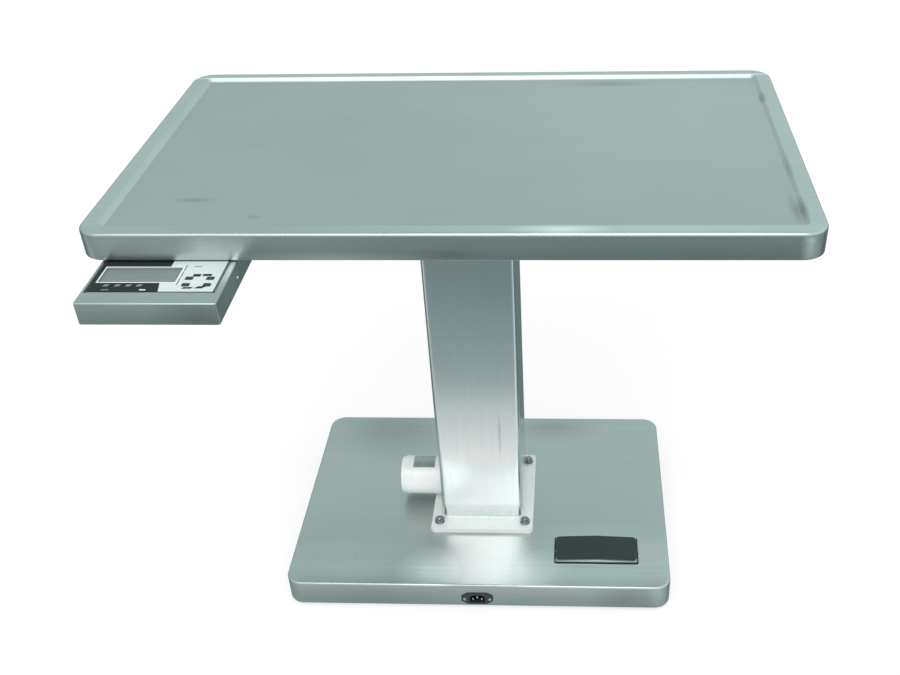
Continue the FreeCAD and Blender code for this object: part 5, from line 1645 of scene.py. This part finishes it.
# ------------------------------------------------------------------ studio
@dataclass
class Studio:
    """Floor, world, lamp and camera."""

    camera_place: Triple = (0.151467, -1.377013, 1.309882)
    yaw: float = 0.0573560
    pitch: float = 0.6193348
    roll: float = -0.0286901
    focal_pixels: float = 1075.2275
    centre: Point = (524.0421, 365.1950)
    image: Point = (900.0, 675.0)
    sensor: float = 36.0
    view_end: float = 60.0
    room_behind: Stops = ((0.30, 1.0), (0.55, 0.86), (0.72, 0.82))
    room_height: Stops = ((0.40, 0.50), (0.5, 0.78), (0.68, 1.0))
    room_right: float = 0.18
    room_tint: Paint = (0.80, 1.0, 0.99, 1.0)
    floor_half: float = 6.0
    floor_bounce: float = 0.75
    floor_paper: float = 0.40
    floor_glow: float = 0.66
    floor_reach: float = 2.0
    # Seen in the metal, the floor glows by its distance in front of the column: painted shade
    # under and just in front of the base, a painted bright band peaking about 0.29 m ahead, dimmer
    # beyond about 0.5 m; past about 1 m it also dims to the sides.
    floor_levels: Stops = ((0.0, 0.20), (0.16, 0.30), (0.22, 0.60), (0.25, 0.72), (0.29, 0.97),
                           (0.376, 0.80), (0.473, 0.64), (0.488, 0.60), (0.505, 0.445),
                           (0.54, 0.41), (0.685, 0.370), (0.90, 0.31), (1.02, 0.26),
                           (1.30, 0.44), (1.6, 0.50))
    floor_aside: Stops = ((0.22, 1.0), (0.5, 0.74), (0.67, 0.64), (0.8, 1.0))
    floor_near: Stops = ((0.36, 0.0), (0.50, 1.0))
    aside_scale: float = 0.25
    floor_dim: Paint = (0.62, 1.0, 1.02, 1.0)
    floor_bright: Paint = (1.02, 0.985, 0.985, 1.0)
    lamp_place: Triple = (-0.2, -2.25, 3.15)
    lamp_target: Triple = (0.0, 0.0, 0.4)
    lamp_size: Point = (2.8, 1.9)
    lamp_power: float = 46.0

    def build_camera(self) -> None:
        """Place the camera."""
        yaw, pitch, roll = self.yaw, self.pitch, self.roll
        ahead = Vector((-math.sin(yaw) * math.cos(pitch), math.cos(yaw) * math.cos(pitch),
                        -math.sin(pitch)))
        right = Vector((math.cos(yaw), math.sin(yaw), 0.0))
        up = right.cross(ahead)
        across = right * math.cos(roll) + up * math.sin(roll)
        above = up * math.cos(roll) - right * math.sin(roll)
        width, height = self.image
        lens = bpy.data.cameras.new("front_view")
        lens.sensor_width = self.sensor
        lens.lens = self.focal_pixels * self.sensor / width
        lens.shift_x = (width / 2 - self.centre[0]) / width
        lens.shift_y = (self.centre[1] - height / 2) / width
        lens.clip_end = self.view_end
        camera = bpy.data.objects.new("front_view", lens)
        turn = Matrix((across, above, -ahead)).transposed().to_4x4()
        camera.matrix_world = Matrix.Translation(self.camera_place) @ turn
        bpy.context.scene.collection.objects.link(camera)
        bpy.context.scene.camera = camera

    def build_world(self) -> None:
        """Light the room evenly, pale for the camera and graded in the metal."""
        world = bpy.data.worlds.new("studio_room")
        bpy.context.scene.world = world
        world.use_nodes = True
        sheet = Sheet(world.node_tree)
        x, y, z = sheet.parts(sheet.wire("ShaderNodeTexCoord", output="Generated", vector=True))
        behind = sheet.ramp(y * 0.5 + 0.5, self.room_behind)
        height = sheet.ramp(z * 0.5 + 0.5, self.room_height)
        seen, mirrored = sheet.rays()
        room = sheet.wire("ShaderNodeBackground", None,
                          {"Color": sheet.blend(mirrored, WHITE, self.room_tint),
                           "Strength": behind * height * (1.0 + self.room_right * x)})
        white = sheet.wire("ShaderNodeBackground", None, {"Color": WHITE, "Strength": 1.0})
        sheet.node("ShaderNodeOutputWorld", None, {"Surface": sheet.mix(seen, room, white)})

    def floor_material(self) -> bpy.types.Material:
        """Make the floor's material: pale for the camera, graded in the metal.

        Returns:
            The material.
        """
        material, sheet = new_material("pale_floor")
        x, y, _ = sheet.parts(sheet.place())
        seen, mirrored = sheet.rays()
        bounce, paper = (sheet.wire("ShaderNodeBsdfDiffuse", None, {"Color": grey(level)})
                         for level in (self.floor_bounce, self.floor_paper))
        glow = sheet.wire("ShaderNodeEmission", None,
                          {"Color": WHITE, "Strength": self.floor_glow})
        shown = sheet.wire("ShaderNodeAddShader", None, {0: paper, 1: glow})
        ahead = (0.0 - y) / self.floor_reach
        depth = sheet.ramp(ahead, tuple((place / self.floor_reach, level)
                                        for place, level in self.floor_levels))
        aside = sheet.ramp(x * self.aside_scale + 0.5, self.floor_aside)
        near = sheet.ramp(ahead, self.floor_near)
        # Painted light: the floor's glow in reflections, graded by place as floor_levels gives.
        room = sheet.wire("ShaderNodeEmission", None,
                          {"Color": sheet.blend(depth, self.floor_dim, self.floor_bright),
                           "Strength": depth * (1.0 - near * (1.0 - aside))})
        mixed = sheet.mix(mirrored, sheet.mix(seen, bounce, shown), room)
        sheet.node("ShaderNodeOutputMaterial", None, {"Surface": mixed})
        return material

    def build_floor(self) -> None:
        """Lay the pale floor, which keeps the table's shadow."""
        plan = [(x * self.floor_half, y * self.floor_half)
                for x, y in ((-1, -1), (1, -1), (1, 1), (-1, 1))]
        mesh = Shape().loft([level_ring(plan, 0.0)], cap_first=False).mesh("studio_floor")
        if mesh.polygons[0].normal.z < 0:
            mesh.flip_normals()
        floor = bpy.data.objects.new("studio_floor", mesh)
        bpy.context.scene.collection.objects.link(floor)
        mesh.materials.append(self.floor_material())

    def build_lamp(self) -> None:
        """Hang the one soft lamp, which faces the table."""
        lamp = bpy.data.lights.new("front_softbox", "AREA")
        lamp.shape = "RECTANGLE"
        lamp.size, lamp.size_y = self.lamp_size
        lamp.energy = self.lamp_power
        holder = bpy.data.objects.new("front_softbox", lamp)
        away = Vector(self.lamp_place) - Vector(self.lamp_target)
        holder.matrix_world = facing(*self.lamp_place, away)
        bpy.context.scene.collection.objects.link(holder)

    def build(self) -> None:
        """Build the studio."""
        for step in (self.build_camera, self.build_world, self.build_floor, self.build_lamp):
            step()
        bpy.context.scene.view_settings.view_transform = "Standard"


def dress_nodes() -> None:
    """Give every CAD node its own finish, or its slot's."""
    for part in frame["record"]["subparts"]:
        node = frame["nodes"][part["node"]]
        finish = NODE_FINISH.get(part["node"], SLOT_FINISH[part["material_slot"]])
        material = finish.material()
        if node.material_slots:
            for holder in node.material_slots:
                holder.material = material
        else:
            node.data.materials.append(material)
        LOG.info("node %s: %s", part["node"], material.name)


def main() -> None:
    """Build the studio and every piece."""
    logging.basicConfig(level=logging.INFO, format="%(message)s")
    Studio().build()
    dress_nodes()
    for assembly in (TablePan(), WeighingFrame(), Column(), Base(), Pedal(), IndicatorTray()):
        LOG.info("assembly %s", type(assembly).__name__)
        assembly.build()


if __name__ == "__main__":
    main()
